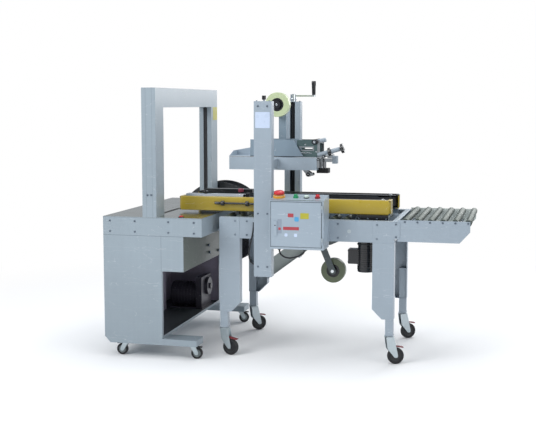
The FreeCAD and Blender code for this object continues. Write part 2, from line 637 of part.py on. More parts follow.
def top_tape_head():
    """Tape cartridge, its outer plates, tape mast and the carton squeezer at the infeed end."""
    x0 = BEAM_LEFT + 125
    w = BEAM_HALF_WIDTH
    z0 = BEAM_TOP
    plate = prism([(x0, z0), (x0 + 312, z0), (x0 + 250, z0 + 97), (x0, z0 + 97)], "y", -w + 3, -w + 6)
    solids = both_sides(plate)
    guide_x = BEAM_LEFT + 394
    guide = block(guide_x, guide_x + 132, -63, -60, z0, z0 + 95)
    guide = guide.cut(block(guide_x + 20, guide_x + 90, -64, -59, z0 + 40, z0 + 52))
    guides = both_sides(guide)
    spindles = [
        rod((guide_x + 105, -63, z0 + 85), "y", 11, 126),
        rod((guide_x + 60, -63, z0 + 20), "y", 8, 126),
        rod((guide_x + 26, -63, z0 + 72), "y", 8, 126),
    ]
    take_up = rod((guide_x + 105, -82, z0 + 85), "y", 14, 19)
    side_cylinder = rod((guide_x + 116, -50, z0 + 85), "x", 10, 34)
    cart = block(BEAM_LEFT + 150, guide_x + 80, -33, -30, BEAM_BOTTOM + 2, z0 + 30)
    carts = both_sides(cart)
    spreaders = []
    for dx, dz in ((170, 0), (250, 18), (330, -6), (442, 30)):
        spreaders.append(rod((BEAM_LEFT + dx, -33, BEAM_BOTTOM + 20 + dz), "y", 6, 66))
    seat = block(BEAM_LEFT + 150, BEAM_LEFT + 162, -w + 3, w - 3, BEAM_BOTTOM + 4, BEAM_TOP - 3)
    cartridge = carts + spreaders + [seat, press_arm_pin()]
    solids.append(join(guides + spindles + [take_up, side_cylinder] + cartridge))
    mast_x, mast_z = TOP_TAPE
    mast = block(mast_x - 4, mast_x + 40, 36, 42, z0, mast_z + 12)
    mast_foot = block(mast_x - 4, mast_x + 40, 36, w - 6, z0, z0 + 6)
    hub = rod((mast_x, -TAPE_WIDTH / 2 - 3, mast_z), "y", 12, 36 + TAPE_WIDTH / 2 + 3)
    boss = rod((mast_x, TAPE_WIDTH / 2 + SIDE_PLAY, mast_z), "y", 20, 36 - TAPE_WIDTH / 2 - SIDE_PLAY)
    cap = rod((mast_x, -TAPE_WIDTH / 2 - 9, mast_z), "y", 22, 9 - SIDE_PLAY)
    solids.append(join([mast, mast_foot, hub, boss, cap]))
    solids += squeezer()
    return Part.makeCompound(solids)


def squeezer():
    """Adjustable arm beyond the beam's end: tube with clamping discs, hanger, block and rubber pad."""
    x0 = BEAM_LEFT + BEAM_LENGTH
    z0 = BEAM_TOP
    y0, y1 = -78.0, -68.0
    arm = prism([(x0, z0 - 18), (x0 + 66, z0 + 12), (x0 + 66, z0 + 28), (x0, z0 - 2)], "y", y0, y1)
    lug = block(x0, x0 + 14, y0, -y0, z0 - 60, z0 - 12)
    tube = join([
        rod((0, 0, 0), "x", 12, 132),
        rod((64, 0, 0), "x", 22, 14),
        rod((131, 0, 0), "x", 5, 8),
        rod((138, 0, 0), "x", 25, 15),
    ])
    tube.rotate(V(0, 0, 0), AXES["y"], -SQUEEZER_RISE)
    tube.translate(V(x0 + 5, y1 - 8, z0 + 12))
    cross = rod((x0 + 58, y1, z0 + 16), "y", 9, -2 * y1)
    bolts = [rod((x0 + 8, y0 - 6, z0 - 13), "y", 7, 6), rod((x0 + 39, y0 - 8, z0 + 4), "y", 8, 8)]
    carrier = block(x0 + 50, x0 + 82, -24, 24, z0 - 8, z0 + 12)
    block_piece = block(x0 + 78, x0 + 104, -24, 24, z0 - 39, z0 + 4)
    hanger = block(x0 + 26, x0 + 32, -40, 40, z0 - 68, z0 - 12)
    tie = block(x0 + 14, x0 + 80, -24, 24, z0 - 30, z0 - 12)
    sole = block(x0 - 10, x0 + 56, -32, 32, z0 - 93, z0 - 77)
    pad = [sole, block(x0 + 2, x0 + 56, -32, 32, z0 - 77, z0 - 66)]
    return [join([arm, far_side(arm), lug, tube, cross, carrier, block_piece, hanger, tie] + bolts + pad)]


def tape_roll(centre):
    """Roll of tape on a core that turns on the hub."""
    x, z = centre
    y0 = -TAPE_WIDTH / 2
    tape = ring((x, y0, z), "y", TAPE_RADIUS, TAPE_CORE, TAPE_WIDTH)
    core = ring((x, y0 + 1, z), "y", TAPE_CORE, TAPE_CORE - 4, TAPE_WIDTH - 2)
    spool = ring((x, y0 + 10, z), "y", TAPE_CORE - 4, 12 + RUNNING, TAPE_WIDTH - 20)
    return Part.makeCompound([tape, join([core, spool])])


def press_arm_pivot():
    """Pivot of the top head's front arm in x and z."""
    return (BEAM_LEFT + 400.0, BEAM_BOTTOM + 34.0)


def press_arm():
    """Sprung front arm with its two rollers that presses the tape on the carton."""
    px, pz = press_arm_pivot()
    rx, rz = px + 51, pz - 60
    eye = ring((px, -24, pz), "y", 12, 6 + RUNNING, 48)
    bars = []
    for y in (-24.0, 20.0):
        low = [(px - 3, pz - 11), (rx - 8, rz - 6), (rx + 26, rz - 6)]
        high = [(rx + 26, rz + 5), (rx + 8, rz + 8), (px + 8, pz + 4)]
        bars.append(prism(low + high, "y", y, y + 4))
    bore = rod((px, -25, pz), "y", 6 + RUNNING, 50)
    bars = [bar.cut(bore) for bar in bars]
    rollers = [rod((rx, -24, rz), "y", 15, 48), rod((rx + 21, -22, rz - 1), "y", 8, 44)]
    return join([eye] + bars + rollers)


def press_arm_pin():
    """Pin through the cartridge plates that the front arm swings on."""
    px, pz = press_arm_pivot()
    return rod((px, -33, pz), "y", 6, 66)


# ---- bottom head ----
def bottom_tape_head():
    """Tape cartridge under the bed, its rollers, blade guard and the arm down to its tape roll."""
    x0, x1 = 945.0, 1275.0
    z1 = FRAME_TOP + 2
    plate = prism([(x0, z1), (x1, z1), (x1, 640), (x1 - 90, 600), (x0 + 110, 600), (x0, 660)], "y", -36, -32)
    ears = block(900, 1320, -36, -32, CROSS_BAR_TOP, CROSS_BAR_TOP + 26)
    plates = both_sides(join([plate, ears]))
    rollers = [
        rod((x0 + 40, -36, z1 - 6), "y", 14, 72),
        rod((x1 - 40, -36, z1 - 6), "y", 14, 72),
        rod((x0 + 120, -36, z1 - 60), "y", 9, 72),
        rod((x1 - 120, -36, z1 - 80), "y", 9, 72),
    ]
    frame = join(plates + rollers)
    tx, tz = BOTTOM_TAPE
    arm = prism([(1100, 640), (1140, 640), (tx + 16, tz + 8), (tx - 16, tz - 8)], "y", -44, -36)
    eye = rod((tx, -44, tz), "y", 18, 8)
    hub = rod((tx, -48, tz), "y", 9, 48 + TAPE_WIDTH / 2 + 3)
    spindle = rod((tx, -36, tz), "y", 12, 36 + TAPE_WIDTH / 2 + 3)
    boss = rod((tx, -36, tz), "y", 20, 36 - TAPE_WIDTH / 2 - SIDE_PLAY)
    cap = rod((tx, TAPE_WIDTH / 2 + SIDE_PLAY, tz), "y", 22, 9 - SIDE_PLAY)
    return join([frame, arm, eye, hub, spindle, boss, cap])


# ---- side-belt drives ----
def drive_chassis():
    """Near drive: plates, box beam, pulley shafts, idler, slide brackets, gearbox and motor."""
    y0, y1 = -GUARD_FACE + SHEET, -BELT_FACE - 10
    left, right = GUARD_LEFT + SHEET, GUARD_RIGHT - SHEET
    base_top = GUARD_BOTTOM + 7
    base = block(left, right, y0, y1, GUARD_BOTTOM + 2, base_top)
    top = block(left, right, y0, y1, GUARD_TOP - 8, GUARD_TOP - 4)
    bx0, bx1 = IDLER_X + 46, DRIVE_PULLEY_X - 70
    beam = block(bx0, bx1, -PULLEY_Y - 22, -PULLEY_Y + 22, base_top, GUARD_TOP - 8)
    beam = beam.cut(block(bx0 - 1, bx1 + 1, -PULLEY_Y - 19, -PULLEY_Y + 19, base_top + 3, GUARD_TOP - 11))
    shafts = []
    for x in (IDLER_X, DRIVE_PULLEY_X):
        shafts.append(rod((x, -PULLEY_Y, base_top), "z", PULLEY_SHAFT, GUARD_TOP - 8 - base_top))
    idler = rod((IDLER_X, -PULLEY_Y, BELT_BOTTOM), "z", PULLEY_RADIUS - 0.1, BELT_HEIGHT)
    end_knob = rod((DRIVE_PULLEY_X - 770, -BELT_FACE - 30, GUARD_TOP - 4), "z", 12, 22)
    cover = block(GUARD_LEFT + 36, GUARD_LEFT + 331, y0 + 17, y0 + 72, GUARD_TOP - 4, GUARD_TOP + 13)
    pieces = [base, top, cover, beam, idler, end_knob] + shafts
    for x in WIDTH_ROD_X:
        bracket = block(x - 8, x + 8, -205, -168, WIDTH_ROD_Z - 16, GUARD_BOTTOM + 2)
        pieces.append(bracket)
    gearbox = block(DRIVE_PULLEY_X - 130, DRIVE_PULLEY_X + 40, -245, -172, GEARBOX_BOTTOM, GUARD_BOTTOM - 1)
    neck = block(DRIVE_PULLEY_X - 130, DRIVE_PULLEY_X + 40, -205, -172, GUARD_BOTTOM - 1, GUARD_BOTTOM + 2)
    motor_x = DRIVE_PULLEY_X - 85
    flange = rod((motor_x, -208, GEARBOX_BOTTOM - 8), "z", 47, 8)
    motor = rod((motor_x, -208, MOTOR_BOTTOM), "z", 43, GEARBOX_BOTTOM - 8 - MOTOR_BOTTOM)
    fins = [ring((motor_x, -208, MOTOR_BOTTOM + 16 + 12 * k), "z", 47, 42, 4) for k in range(10)]
    terminal = block(motor_x - 92, motor_x - 30, -236, -180, MOTOR_BOTTOM + 44, MOTOR_BOTTOM + 126)
    pieces += [gearbox, neck, flange, motor, terminal] + fins
    chassis = join(pieces)
    for x in WIDTH_ROD_X:
        chassis = chassis.cut(rod((x, -230, WIDTH_ROD_Z), "y", WIDTH_ROD_RADIUS + RUNNING, 70))
    return chassis


def drive_guard():
    """Folded guard round the outside, both ends and the upper and lower edges of the drive."""
    y0, y1 = -GUARD_FACE, -BELT_FACE - 10
    left, right = GUARD_LEFT, GUARD_RIGHT
    face = block(left, right, y0, y0 + SHEET, GUARD_BOTTOM, GUARD_TOP)
    ends = [block(x, x + SHEET, y0, y1, GUARD_BOTTOM, GUARD_TOP) for x in (left, right - SHEET)]
    lip = block(left, right, y0, y0 + 18, GUARD_TOP - SHEET, GUARD_TOP)
    low = block(left, right, y0, y0 + 18, GUARD_BOTTOM, GUARD_BOTTOM + 2)
    return join([face, lip, low] + ends)


def guide_rail():
    """Round bar on the near guard's face, held by two clamps."""
    z = GUARD_BOTTOM + 45
    y = -GUARD_FACE - 20
    bar = rod((561, y, z), "x", 6, 230)
    clamps = []
    for x in (608.0, 750.0):
        clamps.append(rod((x - 9, y, z), "x", 12, 18))
        clamps.append(block(x - 7, x + 7, y, -GUARD_FACE, z - 7, z + 7))
    return join([bar] + clamps)


def drive_belt():
    """Flat belt round both pulleys."""
    def loop(radius, z0, z1):
        ends = [rod((x, -PULLEY_Y, z0), "z", radius, z1 - z0) for x in (IDLER_X, DRIVE_PULLEY_X)]
        middle = block(IDLER_X, DRIVE_PULLEY_X, -PULLEY_Y - radius, -PULLEY_Y + radius, z0, z1)
        return join([middle] + ends)

    z0, z1 = BELT_BOTTOM, BELT_BOTTOM + BELT_HEIGHT
    return loop(PULLEY_RADIUS + BELT_THICKNESS, z0, z1).cut(loop(PULLEY_RADIUS, z0 - 1, z1 + 1))


def drive_pulley():
    """Drive pulley with crowned middle, running on its shaft."""
    z0 = BELT_BOTTOM
    radius = PULLEY_RADIUS - BELT_PLAY
    body = ring((DRIVE_PULLEY_X, -PULLEY_Y, z0), "z", radius, PULLEY_SHAFT + RUNNING, BELT_HEIGHT)
    key = block(DRIVE_PULLEY_X + 14, DRIVE_PULLEY_X + 22, -PULLEY_Y - 4, -PULLEY_Y + 4, z0 + 44, z0 + 51)
    return body.cut(key)


# ---- control box ----
def box_top(y):
    """Height of the sloped top at a distance y in front of the centre line."""
    return BOX_FRONT_TOP + (y + BOX_FACE) * math.tan(BOX_SLOPE)


def on_box_top(x, y, radius, low, high):
    """Cylinder square to the sloped top, between two heights above it."""
    normal = V(0, -math.sin(BOX_SLOPE), math.cos(BOX_SLOPE))
    return Part.makeCylinder(radius, high - low, V(x, y, box_top(y)) + normal * low, normal)


def button_places():
    """Emergency stop, green button, lamp and red button on the sloped top."""
    y = -BOX_FACE + 68
    steps = {"stop": 36, "green": 128, "lamp": 186, "red": 246}
    return {name: (BOX_LEFT + step, y) for name, step in steps.items()}


def door_edges():
    """Door's left, right, bottom and top."""
    return (BOX_LEFT + 8, BOX_RIGHT - 12, BOX_BOTTOM + 15, BOX_FRONT_TOP - 9)


def box_panels():
    """Plates of the control box: ends, back, floor, desk with its holes and the strips round the door."""
    back, front = -FRAME_HALF_WIDTH, -BOX_FACE
    t = SHEET
    near, far = front + t, back - t
    left, right = BOX_LEFT + t, BOX_RIGHT - t
    side = [(back, BOX_BOTTOM), (front, BOX_BOTTOM), (front, BOX_FRONT_TOP), (back, box_top(back))]
    rear = [(back, BOX_BOTTOM), (far, BOX_BOTTOM), (far, box_top(far)), (back, box_top(back))]
    slope = [(far, box_top(far) - t), (near, box_top(near) - t), (near, box_top(near)), (far, box_top(far))]
    desk = prism(slope, "x", left, right)
    places = button_places()
    for name, radius in (("stop", STOP_STEM), ("green", PUSH_STEM), ("red", PUSH_STEM)):
        desk = desk.cut(on_box_top(*places[name], radius + RUNNING, -10, 30))
    x0, x1, z0, z1 = door_edges()
    x0, x1, z0, z1 = x0 + DOOR_LAP, x1 - DOOR_LAP, z0 + DOOR_LAP, z1 - DOOR_LAP
    lintel = [(front, z1), (near, z1), (near, box_top(near)), (front, box_top(front))]
    return [
        prism(side, "x", BOX_LEFT, left),
        prism(side, "x", right, BOX_RIGHT),
        prism(rear, "x", left, right),
        block(left, right, near, far, BOX_BOTTOM, BOX_BOTTOM + t),
        desk,
        block(left, x0, front, near, BOX_BOTTOM, z1),
        block(x1, right, front, near, BOX_BOTTOM, z1),
        block(x0, x1, front, near, BOX_BOTTOM, z0),
        prism(lintel, "x", left, right),
    ]


def control_box():
    """Sheet box with a sloped top, button seats, hinge barrels, switchgear and cable glands."""
    back, front = -FRAME_HALF_WIDTH, -BOX_FACE
    t = SHEET
    places = button_places()
    x0, x1, z0, z1 = door_edges()
    base = on_box_top(*places["stop"], 32, 0, 15).cut(on_box_top(*places["stop"], STOP_STEM + RUNNING, -1, 30))
    lamp = on_box_top(*places["lamp"], 12, 0, 14)
    seats = []
    for name in ("green", "red"):
        seats.append(on_box_top(*places[name], 14, 0, 9).cut(on_box_top(*places[name], 11.3, -1, 30)))
    solids = box_panels() + [base, lamp] + seats
    for low in (z0 + 12, z1 - 52):
        barrel = rod((x1 + 5, front - 4, low), "z", 4, 18)
        leaf = block(x1 + 4, x1 + 10, front - 4, front, low, low + 18)
        pin = rod((x1 + 5, front - 4, low + 18), "z", 2, 20)
        solids.append(join([barrel, leaf, pin]))
    rear, mid = back - t, back - t - 12
    solids.append(block(BOX_LEFT + 20, BOX_RIGHT - 20, mid, rear, BOX_BOTTOM + 25, BOX_FRONT_TOP - 20))
    for k in range(3):
        low = BOX_LEFT + 40 + 70 * k
        solids.append(block(low, low + 50, mid - 50, mid, 700, 790))
    for point in (CABLE_ROUTE[0], CABLE_ROUTE[-1]):
        solids.append(rod((point[0], point[1], BOX_BOTTOM - 8), "z", 8, 8))
    return Part.makeCompound(solids)


def control_door():
    """Door with its latch strip, swinging on the right-hand hinge."""
    x0, x1, z0, z1 = door_edges()
    front = -BOX_FACE
    leaf = block(x0, x1 - 1, front - 2.3, front - 0.3, z0, z1)
    pieces = [leaf, block(x0 + 14, x0 + 32, front - 7, front - 2.3, z0 + 55, z0 + 135)]
    for low in (z0 + 12, z1 - 52):
        knuckle = rod((x1 + 5, front - 4, low + 18 + SIDE_PLAY), "z", 4, 18)
        tongue = block(x1 - 2, x1 + 5, front - 4.3, front - 2.3, low + 18 + SIDE_PLAY, low + 36 + SIDE_PLAY)
        pieces.append(join([knuckle, tongue]))
    door = join(pieces)
    for low in (z0 + 12, z1 - 52):
        door = door.cut(rod((x1 + 5, front - 4, low + 17), "z", 2 + RUNNING, 24))
    return door


def estop_button():
    """Mushroom head on its stem."""
    place = button_places()["stop"]
    stem = on_box_top(*place, STOP_STEM, -8, 30)
    head = on_box_top(*place, 28, 20, 38)
    return join([stem, head.makeFillet(7, [head.Edges[0]])])


def push_button(name):
    """Raised button cap on its stem."""
    place = button_places()[name]
    return join([on_box_top(*place, 11, 5.2, 19), on_box_top(*place, PUSH_STEM, -8, 6)])


# ---- casters ----
def big_casters():
    """Name, swivel axis and resting angle of the sealer's casters."""
    angles = (-12.0, 24.0, 40.0, 32.0)
    return [(k + 1, x, y, a) for k, ((x, y), a) in enumerate(zip(foot_places(), angles))]


def small_casters():
    """Name, swivel axis and resting angle of the strapper's casters."""
    angles = (180.0, 8.0, 150.0, 20.0)
    return [(k + 1, x, y, a) for k, ((x, y), a) in enumerate(zip(small_caster_places(), angles))]


def caster_fork(x, y, angle, radius, trail, top, stem, width):
    """Swivelling fork with its stem, axle and brake pedal, trailing along the angle."""
    z = radius
    stem_piece = rod((x, y, top - SIDE_PLAY), "z", stem, 4)
    disc = rod((x, y, top - SIDE_PLAY - 7), "z", radius * 0.62, 7)
    bridge_low = 2 * radius + 4
    half = width / 2 + 2
    solids = [stem_piece, disc]
    reach = radius * 0.5
    for side in (-1, 1):
        inner = side * half
        outer = side * (half + 3)
        y0, y1 = y + min(inner, outer), y + max(inner, outer)
        outline = [
            (x - reach, top - 7),
            (x + reach, top - 7),
            (x + trail + 9, z + 6),
            (x + trail + 7, z - 9),
            (x + trail - 9, z - 9),
            (x - reach * 0.6, bridge_low - 8),
        ]
        solids.append(prism(outline, "y", y0, y1))
    solids.append(rod((x + trail, y - half - 3, z), "y", radius * 0.13, 2 * half + 6))
    root_low = min(2 * radius + 8, top - 9)
    root_high = min(2 * radius + 14, top - 3)
    tip_x, tip_z = x + trail + radius * 0.9, 2 * radius - 2
    outline = [(x + reach - 4, root_low), (tip_x, tip_z), (tip_x, tip_z + 5), (x + reach - 4, root_high)]
    pedal = prism(outline, "y", y - width * 0.42, y + width * 0.42)
    lug = block(x + reach - 8, x + reach, y - half, y + half, root_low, top - 7)
    solids += [pedal, lug]
    return turned(join(solids), x, y, angle)


def caster_wheel(x, y, angle, radius, trail, width):
    """Wheel with a hub and a rounded tread."""
    centre = (x + trail, y - width / 2, radius)
    wheel = rod(centre, "y", radius, width)
    rims = [edge for edge in wheel.Edges if edge.Curve.TypeId == "Part::GeomCircle"]
    wheel = wheel.makeFillet(width * 0.22, rims)
    recess = radius * 0.62
    for start in (y - width / 2 - 1, y + width / 2 - 4):
        wheel = wheel.cut(rod((x + trail, start, radius), "y", recess, 5))
    hub = rod((x + trail, y - width / 2 - 1, radius), "y", radius * 0.28, width + 2)
    bore = rod((x + trail, y - width, radius), "y", radius * 0.13 + RUNNING, 2 * width)
    return turned(join([wheel, hub]).cut(bore), x, y, angle)


def casters():
    """Forks and wheels of both machines."""
    nodes = {}
    for k, x, y, a in big_casters():
        nodes[f"sealer_fork_{k}"] = caster_fork(x, y, a, BIG_WHEEL, BIG_TRAIL, FOOT_BOTTOM, 6, 26)
        nodes[f"sealer_wheel_{k}"] = caster_wheel(x, y, a, BIG_WHEEL, BIG_TRAIL, 26)
    top = SMALL_CASTER_HEIGHT - 4
    for k, x, y, a in small_casters():
        nodes[f"strapper_fork_{k}"] = caster_fork(x, y, a, SMALL_WHEEL, SMALL_TRAIL, top, 5, 20)
        nodes[f"strapper_wheel_{k}"] = caster_wheel(x, y, a, SMALL_WHEEL, SMALL_TRAIL, 20)
    return nodes


# ---- cable under the control box and conduit down the near side frame ----
CABLE_DIAMETER = 9.0
CABLE_ROUTE = (
    (975.0, -412.0, 625.0),
    (975.0, -412.0, 606.0),
    (990.0, -411.0, 585.0),
    (1022.0, -408.0, 572.0),
    (1060.0, -407.0, 578.0),
    (1096.0, -409.0, 592.0),
    (1114.0, -411.0, 610.0),
    (1114.0, -411.0, 625.0),
)
CONDUIT_DIAMETER = 9.0
CONDUIT_ROUTE = (
    (815.0, -350.0, 757.0),
    (815.0, -350.0, 738.0),
    (811.0, -350.0, 700.0),
    (803.0, -350.0, 660.0),
    (793.0, -352.0, 622.0),
    (788.0, -354.0, 585.0),
    (793.0, -357.0, 552.0),
    (806.0, -359.0, 530.0),
    (COLUMN_LEFT - 1.6, -360.0, 522.5),
)


def cable(route, diameter):
    """Tube of straight runs joined by tangent arcs; prints the arcs' radii."""
    points = [V(*p) for p in route]
    edges = []
    radii = []
    start = points[0]
    for before, corner, after in zip(points, points[1:], points[2:]):
        into, out = corner - before, after - corner
        shorter = min(into.Length, out.Length)
        turn = into.getAngle(out)
        radius = 0.45 * shorter / math.tan(turn / 2)
        back = 0.45 * shorter
        into.normalize()
        out.normalize()
        first, last = corner - into * back, corner + out * back
        bisector = (out - into).normalize()
        centre = corner + bisector * (radius / math.cos(turn / 2))
        middle = centre + (corner - centre).normalize() * radius
        edges.append(Part.LineSegment(start, first).toShape())
        edges.append(Part.Arc(first, middle, last).toShape())
        radii.append(round(radius, 1))
        start = last
    edges.append(Part.LineSegment(start, points[-1]).toShape())
    path = Part.Wire(edges)
    direction = (points[1] - points[0]).normalize()
    profile = Part.Wire(Part.makeCircle(diameter / 2, points[0], direction))
    tube = path.makePipeShell([profile], True, True)
    section = math.pi * diameter ** 2 / 4
    print("cable radii", radii, "volume over section x length", round(tube.Volume / (section * path.Length), 4))
    return tube


# ---- fasteners ----
def fasteners():
    """Bolt heads on the aprons, side frames, legs, columns, infeed plates and side housing."""
    heads = []
    y = STRAPPER_FRONT
    apron = TABLE_TOP - 24, APRON_BOTTOM + 20
    for x in (41.0, 186.0, 380.0, TABLE_LENGTH - 44):
        for z in apron:
            heads.append(bolt(x, y, z, "y", -1))
    for x in (SLOT_X - 10, SLOT_X + 12):
        heads.append(bolt(x, y, TABLE_TOP + 121, "y", -1))
    half = FRAME_HALF_WIDTH
    for x in (FRAME_LEFT + 92, FRAME_LEFT + 158, 1282.0, FRAME_RIGHT - 94):
        for z in (FRAME_TOP - 20, FRAME_BOTTOM + 20):
            for side in (-1, 1):
                heads.append(bolt(x, side * half, z, "y", side))
    for x in (COLUMN_LEFT + 23, COLUMN_LEFT + COLUMN_WIDTH - 23):
        for z in (COLUMN_TOP - 27, FRAME_TOP + 30, COLUMN_BOTTOM + 56):
            heads.append(bolt(x, -COLUMN_FACE, z, "y", -1))
            heads.append(bolt(x, COLUMN_FACE, z, "y", 1))
    for x in infeed_roller_places():
        for side in (-1, 1):
            heads.append(bolt(x, side * half, INFEED_AXLE_Z, "y", side))
    for z in (INFEED_TOP - 24, INFEED_BOTTOM + 24):
        for side in (-1, 1):
            heads.append(bolt(FRAME_RIGHT + 8, side * (half + 3), z, "y", side))
    wall = CABINET_LENGTH + SIDE_HOUSING_LENGTH
    for y, z in ((-73.0, APRON_BOTTOM - 105), (-54.0, APRON_BOTTOM - 149), (127.0, APRON_BOTTOM - 162)):
        heads.append(rod((wall, y, z), "x", 8, 10))
    return Part.makeCompound(heads)


def build_nodes():
    """Every node of the machine in its layout position."""
    cords = [cable(CABLE_ROUTE, CABLE_DIAMETER), cable(CONDUIT_ROUTE, CONDUIT_DIAMETER)]
    nodes = {
        "strapper_rails": strapper_rails(),
        "strapper_cabinet": strapper_cabinet(),
        "strapper_table": strapper_table(),
        "strapper_button": strapper_button(),
        "strapper_arch": strapper_arch(),
        "strap_track": strap_track(),
        "strapping_unit": strapping_unit(),
        "reel_stand": reel_stand(),
        "strap_reel": strap_reel(),
        "side_frames": side_frames(),
        "legs": legs(),
        "bed_rollers": bed_rollers(),
        "infeed_table": infeed_table(),
        "columns": columns(),
        "lift_crank": lift_crank(),
        "crank_grip": crank_grip(),
        "head_carriage": head_carriage(),
        "head_beam": head_beam(),
        "top_tape_head": top_tape_head(),
        "top_tape_roll": tape_roll(TOP_TAPE),
        "press_arm": press_arm(),
        "bottom_tape_head": bottom_tape_head(),
        "bottom_tape_roll": tape_roll(BOTTOM_TAPE),
        "near_drive": Part.makeCompound([drive_chassis(), guide_rail()]),
        "far_drive": far_side(drive_chassis()),
        "near_guard": drive_guard(),
        "far_guard": far_side(drive_guard()),
        "near_belt": drive_belt(),
        "far_belt": far_side(drive_belt()),
        "near_pulley": drive_pulley(),
        "far_pulley": far_side(drive_pulley()),
        "control_box": control_box(),
        "control_door": control_door(),
        "estop_button": estop_button(),
        "green_button": push_button("green"),
        "red_button": push_button("red"),
        "control_cable": Part.makeCompound(cords),
        "fasteners": fasteners(),
    }
    for k, x in enumerate(infeed_roller_places()):
        nodes[f"infeed_roller_{k + 1}"] = infeed_roller(x)
    nodes.update(casters())
    return nodes


def origin():
    """Bottom centre of the whole machine, in the layout's own coordinates."""
    right = max(INFEED_RIGHT, infeed_roller_places()[-1] + ROLLER_RADIUS)
    front = STRAPPER_FRONT - BOLT_HEAD
    back = STRAPPER_BACK + REEL_GAP + REEL_WIDTH + 2 * REEL_FLANGE + SIDE_PLAY + KNOB_LENGTH
    return V(right / 2, (front + back) / 2, 0)


def main():
    os.makedirs("parts", exist_ok=True)
    for name, shape in build_nodes().items():
        shape.translate(origin() * -1)
        shape.exportStep(f"parts/{name}.step")
        print(name, len(shape.Solids), shape.isValid(), round(shape.Volume / 1000))


if __name__ == "__main__":
    main()
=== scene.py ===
"""Finished looks of the in-line carton sealer and strapping machine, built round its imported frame.

Sizes are millimetres in the machine's layout: x along the carton's path from the strapper's left end,
y across it from the sealer's centre line (minus is the operator's side) and z up from the floor.
Layout.place() turns them into the frame's metres.
"""
import json
import logging
import math
from dataclasses import dataclass
from enum import Enum
from typing import Optional, Sequence, Union

import bmesh
import bpy
import numpy as np
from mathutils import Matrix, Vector


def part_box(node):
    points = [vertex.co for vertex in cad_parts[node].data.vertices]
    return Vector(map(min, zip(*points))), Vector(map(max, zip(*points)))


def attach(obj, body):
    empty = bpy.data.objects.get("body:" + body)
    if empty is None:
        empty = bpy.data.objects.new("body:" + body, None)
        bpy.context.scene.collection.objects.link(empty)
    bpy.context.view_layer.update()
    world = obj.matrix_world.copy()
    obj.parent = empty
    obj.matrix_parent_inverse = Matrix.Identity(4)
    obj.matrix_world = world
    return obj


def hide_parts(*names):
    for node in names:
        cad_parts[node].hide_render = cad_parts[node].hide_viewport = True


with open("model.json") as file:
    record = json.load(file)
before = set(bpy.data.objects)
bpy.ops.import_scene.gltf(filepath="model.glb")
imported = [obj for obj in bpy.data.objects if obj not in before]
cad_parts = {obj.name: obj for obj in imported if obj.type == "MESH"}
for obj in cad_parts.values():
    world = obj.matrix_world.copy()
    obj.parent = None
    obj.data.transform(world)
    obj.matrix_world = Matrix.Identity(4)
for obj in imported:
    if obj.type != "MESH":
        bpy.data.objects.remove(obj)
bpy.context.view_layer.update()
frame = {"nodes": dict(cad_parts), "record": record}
log = logging.getLogger("machine")

Triple = tuple[float, float, float]
Surface = tuple[np.ndarray, list]
FULL_TURN = 2 * math.pi


class Axis(Enum):
    """Direction that a shape is turned about or drawn along."""

    X = 0
    Y = 1
    Z = 2

    def spread(self) -> np.ndarray:
        """Rows: this axis, then the two axes square to it, right-handed."""
        eye = np.eye(3)
        return np.array([eye[self.value], eye[(self.value + 1) % 3], eye[(self.value + 2) % 3]])


class Layout:
    """Turns layout millimetres into the frame's metres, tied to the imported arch."""

    ARCH_CORNER = (233.0, -519.0)

    def __init__(self) -> None:
        """Reads the arch's box, whose low corner is known in the layout."""
        low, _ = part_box("strapper_arch")
        corner = self.ARCH_CORNER
        self.origin = np.array([corner[0] - low.x * 1000, corner[1] - low.y * 1000, 0.0])

    def place(self, points: Union[Sequence, np.ndarray]) -> np.ndarray:
        """Metres in the frame.

        Args:
            points: layout millimetres, one point or rows of them.

        Returns:
            The same points in metres.
        """
        return (np.asarray(points, float) - self.origin) / 1000.0

    def centre(self, node: str) -> np.ndarray:
        """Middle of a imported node's box, in layout millimetres."""
        low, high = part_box(node)
        return (np.array(low) + np.array(high)) * 500.0 + self.origin


LAYOUT = Layout()


# ---- surfaces ----
def grid_faces(rows: int, cols: int, wrap_rows: bool, wrap_cols: bool) -> list:
    """Quads of a grid of points.

    Args:
        rows: points along the first parameter.
        cols: points along the second.
        wrap_rows: joins the last row to the first.
        wrap_cols: joins the last column to the first.

    Returns:
        Lists of four point numbers.
    """
    i, j = np.meshgrid(
        np.arange(rows if wrap_rows else rows - 1), np.arange(cols if wrap_cols else cols - 1), indexing="ij"
    )
    k, m = (i + 1) % rows, (j + 1) % cols
    return np.stack([i * cols + j, k * cols + j, k * cols + m, i * cols + m], -1).reshape(-1, 4).tolist()


def lathe(profile: Sequence, centre: Sequence, axis: Axis, steps: int = 40, closed: bool = False) -> Surface:
    """Profile turned about an axis: point(s, t) = centre + along(s) a + radius(s) (cos t u + sin t v).

    Args:
        profile: rows of (along, radius).
        centre: point on the axis.
        axis: the axis turned about.
        steps: points round the axis.
        closed: the profile's last row joins its first.

    Returns:
        Points and faces.
    """
    rows = np.asarray(profile, float)
    turn = np.arange(steps) * FULL_TURN / steps
    a, u, v = axis.spread()
    ring = np.cos(turn)[:, None] * u + np.sin(turn)[:, None] * v
    points = np.asarray(centre, float) + rows[:, :1, None] * a + rows[:, 1:, None] * ring
    return points.reshape(-1, 3), grid_faces(len(rows), steps, closed, True)


def rim_round(along: float, radius: float, turn: float, start: float, end: float, steps: int = 4) -> list:
    """Arc for a profile's corner: rows (along + turn cos t, radius + turn sin t), start to end degrees."""
    t = np.radians(np.linspace(start, end, steps))
    return np.stack([along + turn * np.cos(t), radius + turn * np.sin(t)], -1).tolist()


